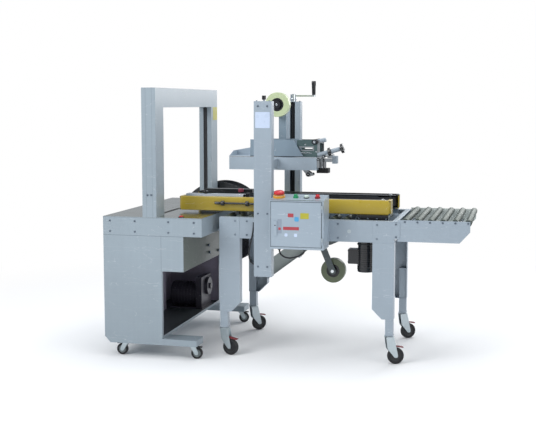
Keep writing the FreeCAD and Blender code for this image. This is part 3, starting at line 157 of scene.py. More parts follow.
def drum(
    centre: Sequence, axis: Axis, radius: float, low: float, high: float, edge: float = 1.0, steps: int = 40
) -> Surface:
    """Closed cylinder with rounded rims, from low to high along the axis."""
    rows = [[low, 0.0]] + rim_round(low + edge, radius - edge, edge, 180, 90)
    rows += rim_round(high - edge, radius - edge, edge, 90, 0) + [[high, 0.0]]
    return lathe(rows, centre, axis, steps)


def sleeve(
    centre: Sequence,
    axis: Axis,
    outer: float,
    inner: float,
    low: float,
    high: float,
    edge: float = 0.8,
    steps: int = 40,
) -> Surface:
    """Closed ring with rounded outer rims and a plain bore, from low to high along the axis."""
    rows = [[low, inner]] + rim_round(low + edge, outer - edge, edge, 180, 90)
    rows += rim_round(high - edge, outer - edge, edge, 90, 0) + [[high, inner]]
    return lathe(rows, centre, axis, steps, closed=True)


def corner_round(outline: Sequence, radius: Union[float, Sequence], steps: int = 5) -> np.ndarray:
    """Outline with each corner replaced by points of the parabola through its two tangent points.

    Args:
        outline: rows of two coordinates, in order.
        radius: distance from a corner to where its bend starts, one or one per corner.
        steps: points in each bend.

    Returns:
        Rows of two coordinates.
    """
    corners = np.asarray(outline, float)
    reach = np.broadcast_to(np.asarray(radius, float), len(corners))[:, None]
    into, out = np.roll(corners, 1, 0) - corners, np.roll(corners, -1, 0) - corners
    first = corners + into / np.linalg.norm(into, axis=1)[:, None] * reach
    last = corners + out / np.linalg.norm(out, axis=1)[:, None] * reach
    t = np.linspace(0, 1, steps)[None, :, None]
    bend = (1 - t) ** 2 * first[:, None] + 2 * t * (1 - t) * corners[:, None] + t ** 2 * last[:, None]
    return bend.reshape(-1, 2)


def plate(outline: Sequence, axis: Axis, low: float, high: float) -> Surface:
    """Outline drawn along an axis: walls are a two-row grid, ends are one face each.

    Args:
        outline: rows of the two coordinates that follow the axis in cyclic order (Y takes z then x).
        axis: direction drawn along.
        low: start along the axis.
        high: end along the axis.

    Returns:
        Points and faces.
    """
    flat = np.asarray(outline, float)
    a, u, v = axis.spread()
    ring = flat[:, :1] * u + flat[:, 1:] * v
    points = np.concatenate([ring + low * a, ring + high * a])
    n = len(flat)
    return points, grid_faces(2, n, False, True) + [list(range(n)), list(range(n, 2 * n))]


def xz_plate(outline: Sequence, low: float, high: float) -> Surface:
    """Plate square to y from an outline given as (x, z)."""
    return plate(np.asarray(outline, float)[:, ::-1], Axis.Y, low, high)


def box_outline(a0: float, a1: float, b0: float, b1: float, corner: float = 0.0) -> np.ndarray:
    """Rectangle's outline, its corners rounded if corner is above 0."""
    square = [(a0, b0), (a1, b0), (a1, b1), (a0, b1)]
    return corner_round(square, corner) if corner else np.array(square)


def slab(low: Sequence, high: Sequence, axis: Axis, corner: float = 0.0) -> Surface:
    """Block between two corners, its edges along the axis rounded."""
    lo, hi = np.asarray(low, float), np.asarray(high, float)
    a, u, v = axis.value, (axis.value + 1) % 3, (axis.value + 2) % 3
    return plate(box_outline(lo[u], hi[u], lo[v], hi[v], corner), axis, lo[a], hi[a])


def carried(
    path: np.ndarray, section: np.ndarray, up: Triple, closed_path: bool = False, closed_section: bool = True
) -> Surface:
    """Section carried along a path: point(s, t) = path(s) + section_1(t) side(s) + section_2(t) lift(s).

    Args:
        path: rows of points.
        section: rows of (sideways, upward) offsets.
        up: direction that the section's second offset stays nearest to.
        closed_path: the path's end meets its start.
        closed_section: the section's end meets its start.

    Returns:
        Points and faces, the ends of an open tube closed.
    """
    line = np.asarray(path, float)
    if closed_path:
        along = np.roll(line, -1, 0) - np.roll(line, 1, 0)
    else:
        along = np.gradient(line, axis=0)
    along /= np.linalg.norm(along, axis=1)[:, None]
    side = np.cross(along, np.asarray(up, float))
    side /= np.linalg.norm(side, axis=1)[:, None]
    lift = np.cross(side, along)
    flat = np.asarray(section, float)
    points = line[:, None] + flat[None, :, :1] * side[:, None] + flat[None, :, 1:] * lift[:, None]
    n = len(flat)
    faces = grid_faces(len(line), n, closed_path, closed_section)
    if closed_section and not closed_path:
        last = (len(line) - 1) * n
        faces += [list(range(n)), list(range(last, last + n))]
    return points.reshape(-1, 3), faces


def circle(radius: float, steps: int = 12) -> np.ndarray:
    """Points of a circle, for a section."""
    t = np.arange(steps) * FULL_TURN / steps
    return np.stack([radius * np.cos(t), radius * np.sin(t)], -1)


def coil_spring(
    centre: Sequence, axis: Axis, radius: float, length: float, turns: int, wire: float
) -> Surface:
    """Helix: centre + length s a + radius (cos 2 pi n s u + sin 2 pi n s v), a round wire carried along it."""
    s = np.linspace(0, 1, turns * 14 + 1)
    a, u, v = axis.spread()
    t = s * turns * FULL_TURN
    path = np.asarray(centre, float) + (length * s)[:, None] * a + radius * (
        np.cos(t)[:, None] * u + np.sin(t)[:, None] * v
    )
    return carried(path, circle(wire, 6), tuple(a))


def turned(surface: Surface, about: Sequence, degrees: float, axis: Axis = Axis.Z) -> Surface:
    """Surface turned about an axis through a point."""
    points, faces = surface
    c, s = math.cos(math.radians(degrees)), math.sin(math.radians(degrees))
    basis = axis.spread()
    local = (points - np.asarray(about, float)) @ basis.T
    spun = np.stack([local[:, 0], c * local[:, 1] - s * local[:, 2], s * local[:, 1] + c * local[:, 2]], -1)
    return spun @ basis + np.asarray(about, float), faces


def mirrored(surface: Surface) -> Surface:
    """Surface on the other side of the carton's path; the mesh has its normals worked out again later."""
    return surface[0] * np.array([1.0, -1.0, 1.0]), surface[1]


def make_piece(
    name: str, surfaces: Sequence[Surface], body: str, bevel: float = 0.0, smooth: float = 35.0
) -> bpy.types.Object:
    """One object from several surfaces, doubles merged, faces outwards, riding on its body.

    Args:
        name: the piece's name.
        surfaces: points and faces in layout millimetres.
        body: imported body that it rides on.
        bevel: width in millimetres of a bevel on its sharp edges, or 0.
        smooth: edges up to this many degrees are shaded smooth.

    Returns:
        The object, at the origin.
    """
    points, faces, start = [], [], 0
    for part_points, part_faces in surfaces:
        points.append(part_points)
        faces += [[start + k for k in face] for face in part_faces]
        start += len(part_points)
    mesh = bpy.data.meshes.new(name)
    mesh.from_pydata(LAYOUT.place(np.concatenate(points)).tolist(), [], faces)
    work = bmesh.new()
    work.from_mesh(mesh)
    bmesh.ops.remove_doubles(work, verts=work.verts, dist=1e-6)
    bmesh.ops.recalc_face_normals(work, faces=work.faces)
    work.to_mesh(mesh)
    work.free()
    mesh.polygons.foreach_set("use_smooth", np.ones(len(mesh.polygons), bool))
    mesh.set_sharp_from_angle(angle=math.radians(smooth))
    piece = bpy.data.objects.new(name, mesh)
    bpy.context.scene.collection.objects.link(piece)
    if bevel:
        rounding = piece.modifiers.new("rounding", "BEVEL")
        rounding.width, rounding.segments = bevel / 1000, 2
        rounding.limit_method, rounding.angle_limit = "ANGLE", math.radians(40)
        rounding.harden_normals = False
    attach(piece, body)
    log.info("%s: %d faces on %s", name, len(mesh.polygons), body)
    return piece


# ---- shader maths ----
class Wire:
    """One shader socket whose arithmetic adds Math nodes."""

    def __init__(self, net: "Net", socket: bpy.types.NodeSocket) -> None:
        """Wraps an output socket of the net."""
        self.net = net
        self.socket = socket

    def _op(self, operation: str, *values: "Value") -> "Wire":
        """Math node of the net on this wire's net."""
        return self.net.math(operation, *values)

    def __add__(self, other: "Value") -> "Wire":
        """Sum."""
        return self._op("ADD", self, other)

    def __radd__(self, other: "Value") -> "Wire":
        """Sum, reflected."""
        return self._op("ADD", other, self)

    def __sub__(self, other: "Value") -> "Wire":
        """Difference."""
        return self._op("SUBTRACT", self, other)

    def __rsub__(self, other: "Value") -> "Wire":
        """Difference, reflected."""
        return self._op("SUBTRACT", other, self)

    def __mul__(self, other: "Value") -> "Wire":
        """Product."""
        return self._op("MULTIPLY", self, other)

    def __rmul__(self, other: "Value") -> "Wire":
        """Product, reflected."""
        return self._op("MULTIPLY", other, self)

    def __truediv__(self, other: "Value") -> "Wire":
        """Quotient."""
        return self._op("DIVIDE", self, other)

    def __gt__(self, other: "Value") -> "Wire":
        """1 where this is greater, else 0."""
        return self._op("GREATER_THAN", self, other)

    def __lt__(self, other: "Value") -> "Wire":
        """1 where this is less, else 0."""
        return self._op("LESS_THAN", self, other)

    def __pow__(self, other: "Value") -> "Wire":
        """Power."""
        return self._op("POWER", self, other)


Value = Union[float, Wire]
Colour = tuple[float, float, float]


def linear(red: int, green: int, blue: int) -> Colour:
    """Linear colour from 0 to 255 display values."""
    return tuple(
        c / 12.92 if c <= 0.04045 else ((c + 0.055) / 1.055) ** 2.4 for c in (
            red / 255, green / 255, blue / 255
        )
    )


class Net:
    """Node tree of one material."""

    def __init__(self, name: str) -> None:
        """Starts an empty material with its surface shader and output."""
        self.material = bpy.data.materials.new(name)
        self.material.use_nodes = True
        self.tree = self.material.node_tree
        self.tree.nodes.clear()
        self.output = self.node("ShaderNodeOutputMaterial")
        self.axes: Optional[tuple[Wire, Wire, Wire]] = None
        self.spot: Optional[Wire] = None

    def node(
        self, kind: str, settings: Optional[dict] = None, inputs: Optional[dict] = None
    ) -> bpy.types.Node:
        """Adds a node.

        Args:
            kind: Blender's node type.
            settings: attributes set first; "stops" sets a colour ramp's stops.
            inputs: value or wire for each socket, by name or number.

        Returns:
            The node.
        """
        made = self.tree.nodes.new(kind)
        for key, value in (settings or {}).items():
            if key == "stops":
                ramp = made.color_ramp
                while len(ramp.elements) < len(value):
                    ramp.elements.new(0.5)
                for element, (place, colour) in zip(ramp.elements, value):
                    element.position, element.color = place, (*colour, 1.0)
            else:
                setattr(made, key, value)
        for key, value in (inputs or {}).items():
            if isinstance(value, Wire):
                self.tree.links.new(value.socket, made.inputs[key])
            elif isinstance(value, bpy.types.NodeSocket):
                self.tree.links.new(value, made.inputs[key])
            elif isinstance(value, tuple) and made.inputs[key].type == "RGBA":
                made.inputs[key].default_value = (*value, 1.0)
            else:
                made.inputs[key].default_value = value
        return made

    def math(self, operation: str, *values: Value) -> Wire:
        """Math node on one to three values."""
        made = self.node("ShaderNodeMath", {"operation": operation}, dict(enumerate(values)))
        return Wire(self, made.outputs[0])

    def place(self) -> Wire:
        """Object coordinates, which are the frame's metres."""
        if self.spot is None:
            self.spot = Wire(self, self.node("ShaderNodeTexCoord").outputs["Object"])
        return self.spot

    def layout(self) -> tuple[Wire, Wire, Wire]:
        """Layout millimetres x, y and z of the shaded point."""
        if self.axes is None:
            split = self.node("ShaderNodeSeparateXYZ", None, {0: self.place()})
            parts = [Wire(self, socket) * 1000.0 for socket in split.outputs]
            self.axes = (parts[0] + float(LAYOUT.origin[0]), parts[1] + float(LAYOUT.origin[1]), parts[2])
        return self.axes

    def stretched(self, scale: Triple) -> Wire:
        """Object coordinates times a scale for each axis."""
        made = self.node("ShaderNodeVectorMath", {"operation": "MULTIPLY"}, {0: self.place(), 1: scale})
        return Wire(self, made.outputs[0])

    def noise(
        self, scale: float, detail: float = 2.0, stretch: Triple = (1.0, 1.0, 1.0), rough: float = 0.5
    ) -> Wire:
        """Noise from 0 to 1 on object coordinates, scale cells to the metre."""
        spot = self.place() if stretch == (1.0, 1.0, 1.0) else self.stretched(stretch)
        made = self.node(
            "ShaderNodeTexNoise", None, {"Vector": spot, "Scale": scale, "Detail": detail, "Roughness": rough}
        )
        return Wire(self, made.outputs[0])

    def blend(
        self, share: Value, first: Union[Colour, Wire], second: Union[Colour, Wire], mode: str = "MIX"
    ) -> Wire:
        """Colour between two, by a share from 0 to 1."""
        made = self.node(
            "ShaderNodeMix", {"data_type": "RGBA", "blend_type": mode}, {0: share, 6: first, 7: second}
        )
        return Wire(self, made.outputs[2])

    def between(self, share: Value, first: Value, second: Value) -> Value:
        """Number between two, by a share from 0 to 1; stays a number where both are the same number."""
        if not isinstance(first, Wire) and not isinstance(second, Wire) and first == second:
            return first
        if isinstance(share, Wire):
            return share * (second - first) + first
        return first + (second - first) * share

    def within(self, low: Sequence, high: Sequence) -> Wire:
        """1 inside a box of layout millimetres, else 0; None leaves a side open."""
        found: Optional[Wire] = None
        for axis, lo, hi in zip(self.layout(), low, high):
            for test in ([axis > float(lo)] if lo is not None else []) + (
                [axis < float(hi)] if hi is not None else []
            ):
                found = test if found is None else found * test
        return found

    def away(self, centre: Sequence) -> Wire:
        """Distance in millimetres from an axis; the centre's None is the axis's own direction."""
        steps = [axis - float(c) for axis, c in zip(self.layout(), centre) if c is not None]
        return self.math("SQRT", steps[0] * steps[0] + steps[1] * steps[1])


@dataclass
class Looks:
    """What a finish says at a point: colour, roughness, metallic, bump height in millimetres and coat."""

    colour: Union[Colour, Wire]
    rough: Value
    metal: Value
    height: Value
    coat: Value = 0.0


class Finish:
    """A surface finish."""

    def looks(self, net: Net) -> Looks:
        """What the finish says, as wires of the net."""
        raise NotImplementedError


def toned(net: Net, colour: Union[Colour, Wire], amount: Wire) -> Wire:
    """Colour multiplied by an amount, the same for each channel."""
    grey = net.node("ShaderNodeCombineXYZ", None, {0: amount, 1: amount, 2: amount})
    made = net.node("ShaderNodeVectorMath", {"operation": "MULTIPLY"}, {0: grey.outputs[0], 1: colour})
    return Wire(net, made.outputs[0])


@dataclass(frozen=True)
class Paint(Finish):
    """Powder-coated sheet: cloudy tone, faint upright streaks, orange peel, dust low down, fine marks."""

    shade: Colour
    gloss: float = 0.38
    cloud: float = 0.07
    dust: float = 0.10

    def looks(self, net: Net) -> Looks:
        """Tone is 1 plus clouds and streaks; dust darkens below knee height."""
        clouds = net.noise(2.6, 3.0) - 0.5
        streaks = net.noise(1.0, 3.0, (46.0, 46.0, 1.3)) - 0.5
        blots = net.noise(21.0, 4.0, rough=0.62) - 0.5
        low = net.node(
            "ShaderNodeMapRange", {"clamp": True}, {
                0: net.layout()[2], 1: 0.0, 2: 620.0, 3: self.dust, 4: 0.0
            }
        )
        grime = Wire(net, low.outputs[0]) * (0.55 + net.noise(7.0, 4.0))
        tone = 1.0 + clouds * (2.2 * self.cloud) + streaks * (0.9 * self.cloud)
        tone = tone + blots * (0.8 * self.cloud) - grime
        scratch = net.math("ABSOLUTE", net.noise(3.4, 2.0, (1.0, 1.0, 7.0)) - 0.5) < 0.0016
        colour = net.blend(
            scratch * 0.35, toned(net, self.shade, tone), tuple(0.55 + 0.45 * c for c in self.shade)
        )
        rough = self.gloss + blots * 0.16 + grime * 0.9 + scratch * 0.12
        return Looks(colour, rough, 0.0, net.noise(620.0, 2.0) * 0.06 + blots * 0.05, 0.25)


@dataclass(frozen=True)
class Metal(Finish):
    """Bare or plated metal: brushed along a direction, with blotches and darker stains."""

    shade: Colour
    roughness: float = 0.34
    brush: Triple = (1.0, 60.0, 60.0)
    blotch: float = 0.16
    spangle: float = 0.0

    def looks(self, net: Net) -> Looks:
        """Tone is blotches times brush lines; spangle adds flat cells of zinc."""
        lines = net.noise(26.0, 3.0, self.brush) - 0.5
        stain = net.noise(9.0, 5.0, rough=0.65) - 0.5
        tone = 1.0 + stain * (2.0 * self.blotch) + lines * 0.22
        if self.spangle:
            cells = net.node(
                "ShaderNodeTexVoronoi", {"feature": "F1"}, {"Vector": net.place(), "Scale": 95.0}
            )
            tint = net.node("ShaderNodeSeparateColor", None, {0: cells.outputs["Color"]})
            tone = tone + (Wire(net, tint.outputs[0]) - 0.5) * self.spangle
        rough = self.roughness + lines * 0.18 + stain * 0.22
        return Looks(toned(net, self.shade, tone), rough, 1.0, lines * 0.03, 0.0)


@dataclass(frozen=True)
class Moulded(Finish):
    """Moulded plastic: fine grain, slight mottling and handling shine."""

    shade: Colour
    roughness: float = 0.42
    coat: float = 0.1

    def looks(self, net: Net) -> Looks:
        """Grain is very fine noise; shine follows a broad one."""
        worn = net.noise(16.0, 3.0) - 0.5
        grain = net.noise(1400.0, 1.0)
        return Looks(
            toned(
                net, self.shade, 1.0 + worn * 0.22
            ), self.roughness + worn * 0.25, 0.0, grain * 0.05, self.coat
        )


@dataclass(frozen=True)
class Rubber(Finish):
    """Rubber: matt, with pale dust caught in specks."""

    shade: Colour = linear(30, 31, 34)
    dust: float = 0.35

    def looks(self, net: Net) -> Looks:
        """Dust is where fine noise times broad noise is high."""
        specks = net.noise(160.0, 4.0, rough=0.7) * net.noise(11.0, 2.0)
        share = net.math("MULTIPLY", net.math("SUBTRACT", specks, 0.27), 3.2 * self.dust)
        held = net.node("ShaderNodeClamp", None, {0: share, 1: 0.0, 2: 0.6})
        colour = net.blend(Wire(net, held.outputs[0]), self.shade, linear(116, 113, 106))
        return Looks(colour, 0.72 + (specks - 0.25) * 0.3, 0.0, net.noise(420.0, 3.0) * 0.12, 0.0)


@dataclass(frozen=True)
class Wound(Finish):
    """Film or strap wound on a roll: rings on its sides, bands round its face."""

    shade: Colour
    deep: Colour
    centre: tuple
    pitch: float = 1.6
    roughness: float = 0.22
    coat: float = 0.5

    def looks(self, net: Net) -> Looks:
        """Rings are noise read along the radius; the colour goes between its two shades by the rings and a
        noise.
        """
        radius = net.away(self.centre)
        spot = net.node("ShaderNodeCombineXYZ", None, {0: radius / self.pitch, 1: 0.0, 2: 0.0})
        ring = net.node(
            "ShaderNodeTexNoise", {"noise_dimensions": "2D"}, {
                "Vector": spot.outputs[0], "Scale": 1.0, "Detail": 4.0
            }
        )
        rings = Wire(net, ring.outputs[0]) - 0.5
        colour = net.blend(net.noise(34.0, 3.0) * 0.5 + rings * 1.2, self.shade, self.deep)
        return Looks(colour, self.roughness + rings * 0.3, 0.0, rings * 0.5, self.coat)


@dataclass(frozen=True)
class Zone:
    """Part of a node in layout millimetres that has a finish of its own; None leaves a side open."""

    finish: Finish
    low: tuple = (None, None, None)
    high: tuple = (None, None, None)
    ring: Optional[tuple] = None

    def mask(self, net: Net) -> Wire:
        """1 inside the box, and inside (centre, inner, outer) where ring is given."""
        boxed = net.within(self.low, self.high)
        if self.ring is None:
            return boxed
        centre, inner, outer = self.ring
        radius = net.away(centre)
        ringed = (radius > float(inner)) * (radius < float(outer))
        return ringed if boxed is None else boxed * ringed


@dataclass(frozen=True)
class Seam:
    """Dark line of a sheet joint or a slot's shadow, in layout millimetres, as a box."""

    low: tuple
    high: tuple
    depth: float = 0.55


def finish_material(
    name: str, base: Finish, zones: Sequence[Zone] = (), seams: Sequence[Seam] = ()
) -> bpy.types.Material:
    """Material of a finish, with zones of other finishes and dark seams over it.

    Args:
        name: the material's name.
        base: finish everywhere else.
        zones: parts with finishes of their own, the last on top.
        seams: dark lines.

    Returns:
        The material.
    """
    net = Net(name)
    now = base.looks(net)
    for zone in zones:
        share = zone.mask(net)
        over = zone.finish.looks(net)
        now = Looks(
            net.blend(share, now.colour, over.colour),
            net.between(share, now.rough, over.rough),
            net.between(share, now.metal, over.metal),
            net.between(share, now.height, over.height),
            net.between(share, now.coat, over.coat),
        )
    for seam in seams:
        share = net.within(seam.low, seam.high) * seam.depth
        now.colour = net.blend(share, now.colour, linear(24, 26, 30))
    bump = net.node("ShaderNodeBump", None, {"Strength": 0.55, "Distance": 0.001, "Height": now.height})
    body = net.node(
        "ShaderNodeBsdfPrincipled",
        None,
        {
            "Base Color": now.colour,
            "Roughness": now.rough,
            "Metallic": now.metal,
            "Coat Weight": now.coat,
            "Coat Roughness": 0.2,
            "Normal": bump.outputs[0],
        },
    )
    net.tree.links.new(body.outputs[0], net.output.inputs["Surface"])
    return net.material


# ---- finishes of this machine ----
BODY = Paint(linear(146, 159, 168))
FRAME_PAINT = Paint(linear(152, 165, 176))
HEAD_PAINT = Paint(linear(132, 150, 164), cloud=0.06)
BOX_PAINT = Paint(linear(156, 170, 182), gloss=0.32, cloud=0.04, dust=0.0)
GUARD = Paint(linear(184, 160, 52), gloss=0.3, cloud=0.06, dust=0.0)
# Lighter inside paint: painted light in the strapper's shaded cabinet bay and on the head's left part there.
INNER_PAINTED_LIGHT = Paint(linear(158, 150, 166), gloss=0.5, cloud=0.2, dust=0.0)
# Dark plum: painted shade over the motor in the cabinet's shaded bay.
PLUM_PAINTED_SHADE = Paint(linear(50, 48, 58), gloss=0.5, cloud=0.2, dust=0.0)
BLACK_PAINT = Paint(linear(20, 24, 28), gloss=0.34, cloud=0.12, dust=0.0)
ARM_PAINT = Paint(linear(78, 88, 90), gloss=0.4)
MOTOR_GREY = Paint(linear(96, 112, 124), gloss=0.4, cloud=0.12)
ZINC = Metal(linear(186, 196, 200), 0.36, (30.0, 30.0, 3.0), 0.14, 0.06)
GALVANISED = Metal(linear(92, 100, 95), 0.55, (70.0, 2.0, 70.0), 0.12, 0.07)
STEEL = Metal(linear(176, 180, 182), 0.28)
TABLE_STEEL = Metal(linear(178, 181, 174), 0.2, (2.0, 60.0, 60.0), 0.12)
BRIGHT = Metal(linear(214, 219, 222), 0.17, (20.0, 20.0, 20.0), 0.06)
DARK_STEEL = Metal(linear(92, 98, 104), 0.4)
SCREW_STEEL = Metal(linear(52, 54, 58), 0.34, (30.0, 30.0, 6.0))
THREAD_STEEL = Metal(linear(50, 52, 56), 0.36, (30.0, 30.0, 6.0))
CAST_STEEL = Metal(linear(150, 156, 160), 0.45, (20.0, 20.0, 20.0))
REEL_BLACK = Moulded(linear(30, 32, 38), 0.2, 0.6)
BOLT_STEEL = Metal(linear(112, 122, 134), 0.34, (30.0, 30.0, 30.0))
TYRE = Rubber()
PRESS_RUBBER = Rubber(linear(24, 25, 28), 0.15)
BELTING = Rubber(linear(40, 42, 46), 0.22)
BLACK_PLASTIC = Moulded(linear(26, 27, 30), 0.4)
SATIN_BLACK = Moulded(linear(20, 21, 25), 0.24, 0.4)
HUB_GREY = Moulded(linear(118, 126, 128), 0.5)
PEDAL_RED = Moulded(linear(118, 34, 40), 0.4, 0.2)
# Frame paint made lighter: painted light on the head beam, which sits in shade; the bed's end strip uses it
# too.
LIGHTENED_FRAME_PAINT = Paint(linear(170, 184, 196))
# Pale paint: painted light on the far brace under the bed and on the infeed table's shaded inner face.
PALE_PAINTED_LIGHT = Paint(linear(196, 204, 200))
GUIDE_STEEL = Metal(linear(108, 128, 128), 0.42)
SHADED_PAINT = Paint(linear(78, 87, 79), cloud=0.2)
# Dark paint: painted shade on the floor of the strapper's cabinet bay.
BAY_FLOOR_PAINTED_SHADE = Paint(linear(70, 78, 80), cloud=0.2)
KNOB_RED = Moulded(linear(150, 62, 82), 0.36, 0.2)
DEEP_RED = Moulded(linear(128, 20, 32), 0.34, 0.3)
RED_CAP = Moulded(linear(204, 24, 38), 0.26, 0.45)
YELLOW_COLLAR = Moulded(linear(222, 158, 40), 0.36, 0.2)
GREEN_CAP = Moulded(linear(24, 142, 92), 0.28, 0.4)
LAMP_LENS = Moulded(linear(206, 226, 216), 0.16, 0.6)
BLANK_WHITE = Moulded(linear(196, 210, 232), 0.3, 0.3)
BLANK_YELLOW = Moulded(linear(176, 170, 52), 0.36, 0.2)
BLANK_RED = Moulded(linear(170, 62, 70), 0.36, 0.2)
BLANK_BLUE = Moulded(linear(78, 160, 208), 0.36, 0.2)
BLANK_GREY = Moulded(linear(140, 152, 166), 0.4, 0.1)
CABLE_JACKET = Moulded(linear(28, 29, 33), 0.46)


@dataclass(frozen=True)
class Studio:
    """Pale floor, soft lamps and the camera at the machine's viewing angle."""

    camera: Triple = (2236.0, -5687.0, 1400.0)
    yaw: float = 14.09
    pitch: float = 6.187
    lens: float = 68.07
    sensor: float = 36.0
    floor_reach: float = 60.0
    pale: Colour = (0.955, 0.96, 0.965)

    def lamp(self, name: str, place: Triple, aim: Triple, size: float, power: float) -> None:
        """Adds a square soft lamp, its place and aim in metres."""
        light = bpy.data.lights.new(name, "AREA")
        light.shape, light.size, light.energy = "SQUARE", size, power
        lamp = bpy.data.objects.new(name, light)
        lamp.location = place
        lamp.rotation_euler = (Vector(aim) - Vector(place)).to_track_quat("-Z", "Y").to_euler()
        bpy.context.scene.collection.objects.link(lamp)

    def lights(self) -> None:
        """Key from the operator's left, fill from the right and the rear, and one overhead."""
        aim = (0.0, 0.0, 0.7)
        self.lamp("key", (-3.4, -4.6, 3.9), aim, 3.2, 190.0)
        self.lamp("fill", (4.6, -3.4, 2.6), aim, 3.4, 62.0)
        self.lamp("overhead", (0.3, 0.2, 4.6), (0.0, 0.0, 0.0), 4.0, 105.0)
        self.lamp("rear", (1.8, 4.6, 2.8), aim, 3.0, 90.0)

    def world(self) -> None:
        """World that is white to camera and transmission rays, and a plain grey light elsewhere."""
        world = bpy.data.worlds.new("studio")
        bpy.context.scene.world = world
        world.use_nodes = True
        tree = world.node_tree
        tree.nodes.clear()
        path = tree.nodes.new("ShaderNodeLightPath")
        seen = tree.nodes.new("ShaderNodeMath")
        seen.operation = "ADD"
        seen.use_clamp = True
        tree.links.new(path.outputs["Is Camera Ray"], seen.inputs[0])
        tree.links.new(path.outputs["Is Transmission Ray"], seen.inputs[1])
        shades = []
        for colour, strength in ((0.82, 0.86, 0.92), 0.54), ((1.0, 1.0, 1.0), 1.0):
            shade = tree.nodes.new("ShaderNodeBackground")
            shade.inputs[0].default_value = (*colour, 1.0)
            shade.inputs[1].default_value = strength
            shades.append(shade)
        mix = tree.nodes.new("ShaderNodeMixShader")
        out = tree.nodes.new("ShaderNodeOutputWorld")
        tree.links.new(seen.outputs[0], mix.inputs[0])
        tree.links.new(shades[0].outputs[0], mix.inputs[1])
        tree.links.new(shades[1].outputs[0], mix.inputs[2])
        tree.links.new(mix.outputs[0], out.inputs[0])

    def floor(self) -> None:
        """Wide plane: pale and shadowed round the machine, and plain white light further out."""
        reach = self.floor_reach
        mesh = bpy.data.meshes.new("floor")
        mesh.from_pydata(
            [
                (-reach, -reach, 0), (reach, -reach, 0), (reach, reach, 0), (-reach, reach, 0)
            ], [], [(0, 1, 2, 3)]
        )
        plane = bpy.data.objects.new("floor", mesh)
        bpy.context.scene.collection.objects.link(plane)
        net = Net("pale_floor")
        spot = net.node("ShaderNodeVectorMath", {"operation": "LENGTH"}, {0: net.place()})
        share = net.node(
            "ShaderNodeMapRange",
            {"interpolation_type": "SMOOTHSTEP"},
            {0: spot.outputs["Value"], 1: 1.3, 2: 3.6, 3: 0.0, 4: 1.0},
        )
        near = net.node("ShaderNodeBsdfDiffuse", None, {"Color": self.pale})
        far = net.node("ShaderNodeEmission", None, {"Color": (1.0, 1.0, 1.0), "Strength": 1.0})
        path = net.node("ShaderNodeLightPath")
        seen = Wire(net, path.outputs["Is Camera Ray"]) * Wire(net, share.outputs[0])
        mix = net.node("ShaderNodeMixShader", None, {0: seen, 1: near.outputs[0], 2: far.outputs[0]})
        net.tree.links.new(mix.outputs[0], net.output.inputs["Surface"])
        mesh.materials.append(net.material)

    def build(self) -> None:
        """Camera, lamps, world, floor and colour management."""
        data = bpy.data.cameras.new("camera")
        data.lens, data.sensor_width, data.sensor_fit = self.lens, self.sensor, "HORIZONTAL"
        data.clip_end = 200.0
        camera = bpy.data.objects.new("camera", data)
        camera.location = LAYOUT.place(self.camera)
        camera.rotation_euler = (math.radians(90 - self.pitch), 0.0, math.radians(self.yaw))
        bpy.context.scene.collection.objects.link(camera)
        bpy.context.scene.camera = camera
        bpy.context.scene.view_settings.view_transform = "Standard"
        self.world()
        self.lights()
        self.floor()


MADE: dict[str, bpy.types.Material] = {}


def dress(
    piece: bpy.types.Object, name: str, base: Finish, zones: Sequence[Zone] = (), seams: Sequence[Seam] = ()
) -> bpy.types.Object:
    """Gives a piece a named material, made once."""
    if name not in MADE:
        MADE[name] = finish_material(name, base, zones, seams)
    piece.data.materials.clear()
    piece.data.materials.append(MADE[name])
    return piece


def dress_node(node: str, base: Finish, zones: Sequence[Zone] = (), seams: Sequence[Seam] = ()) -> None:
    """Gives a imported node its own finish."""
    dress(frame["nodes"][node], f"{node}_finish", base, zones, seams)
    log.info("%s: packed node dressed", node)


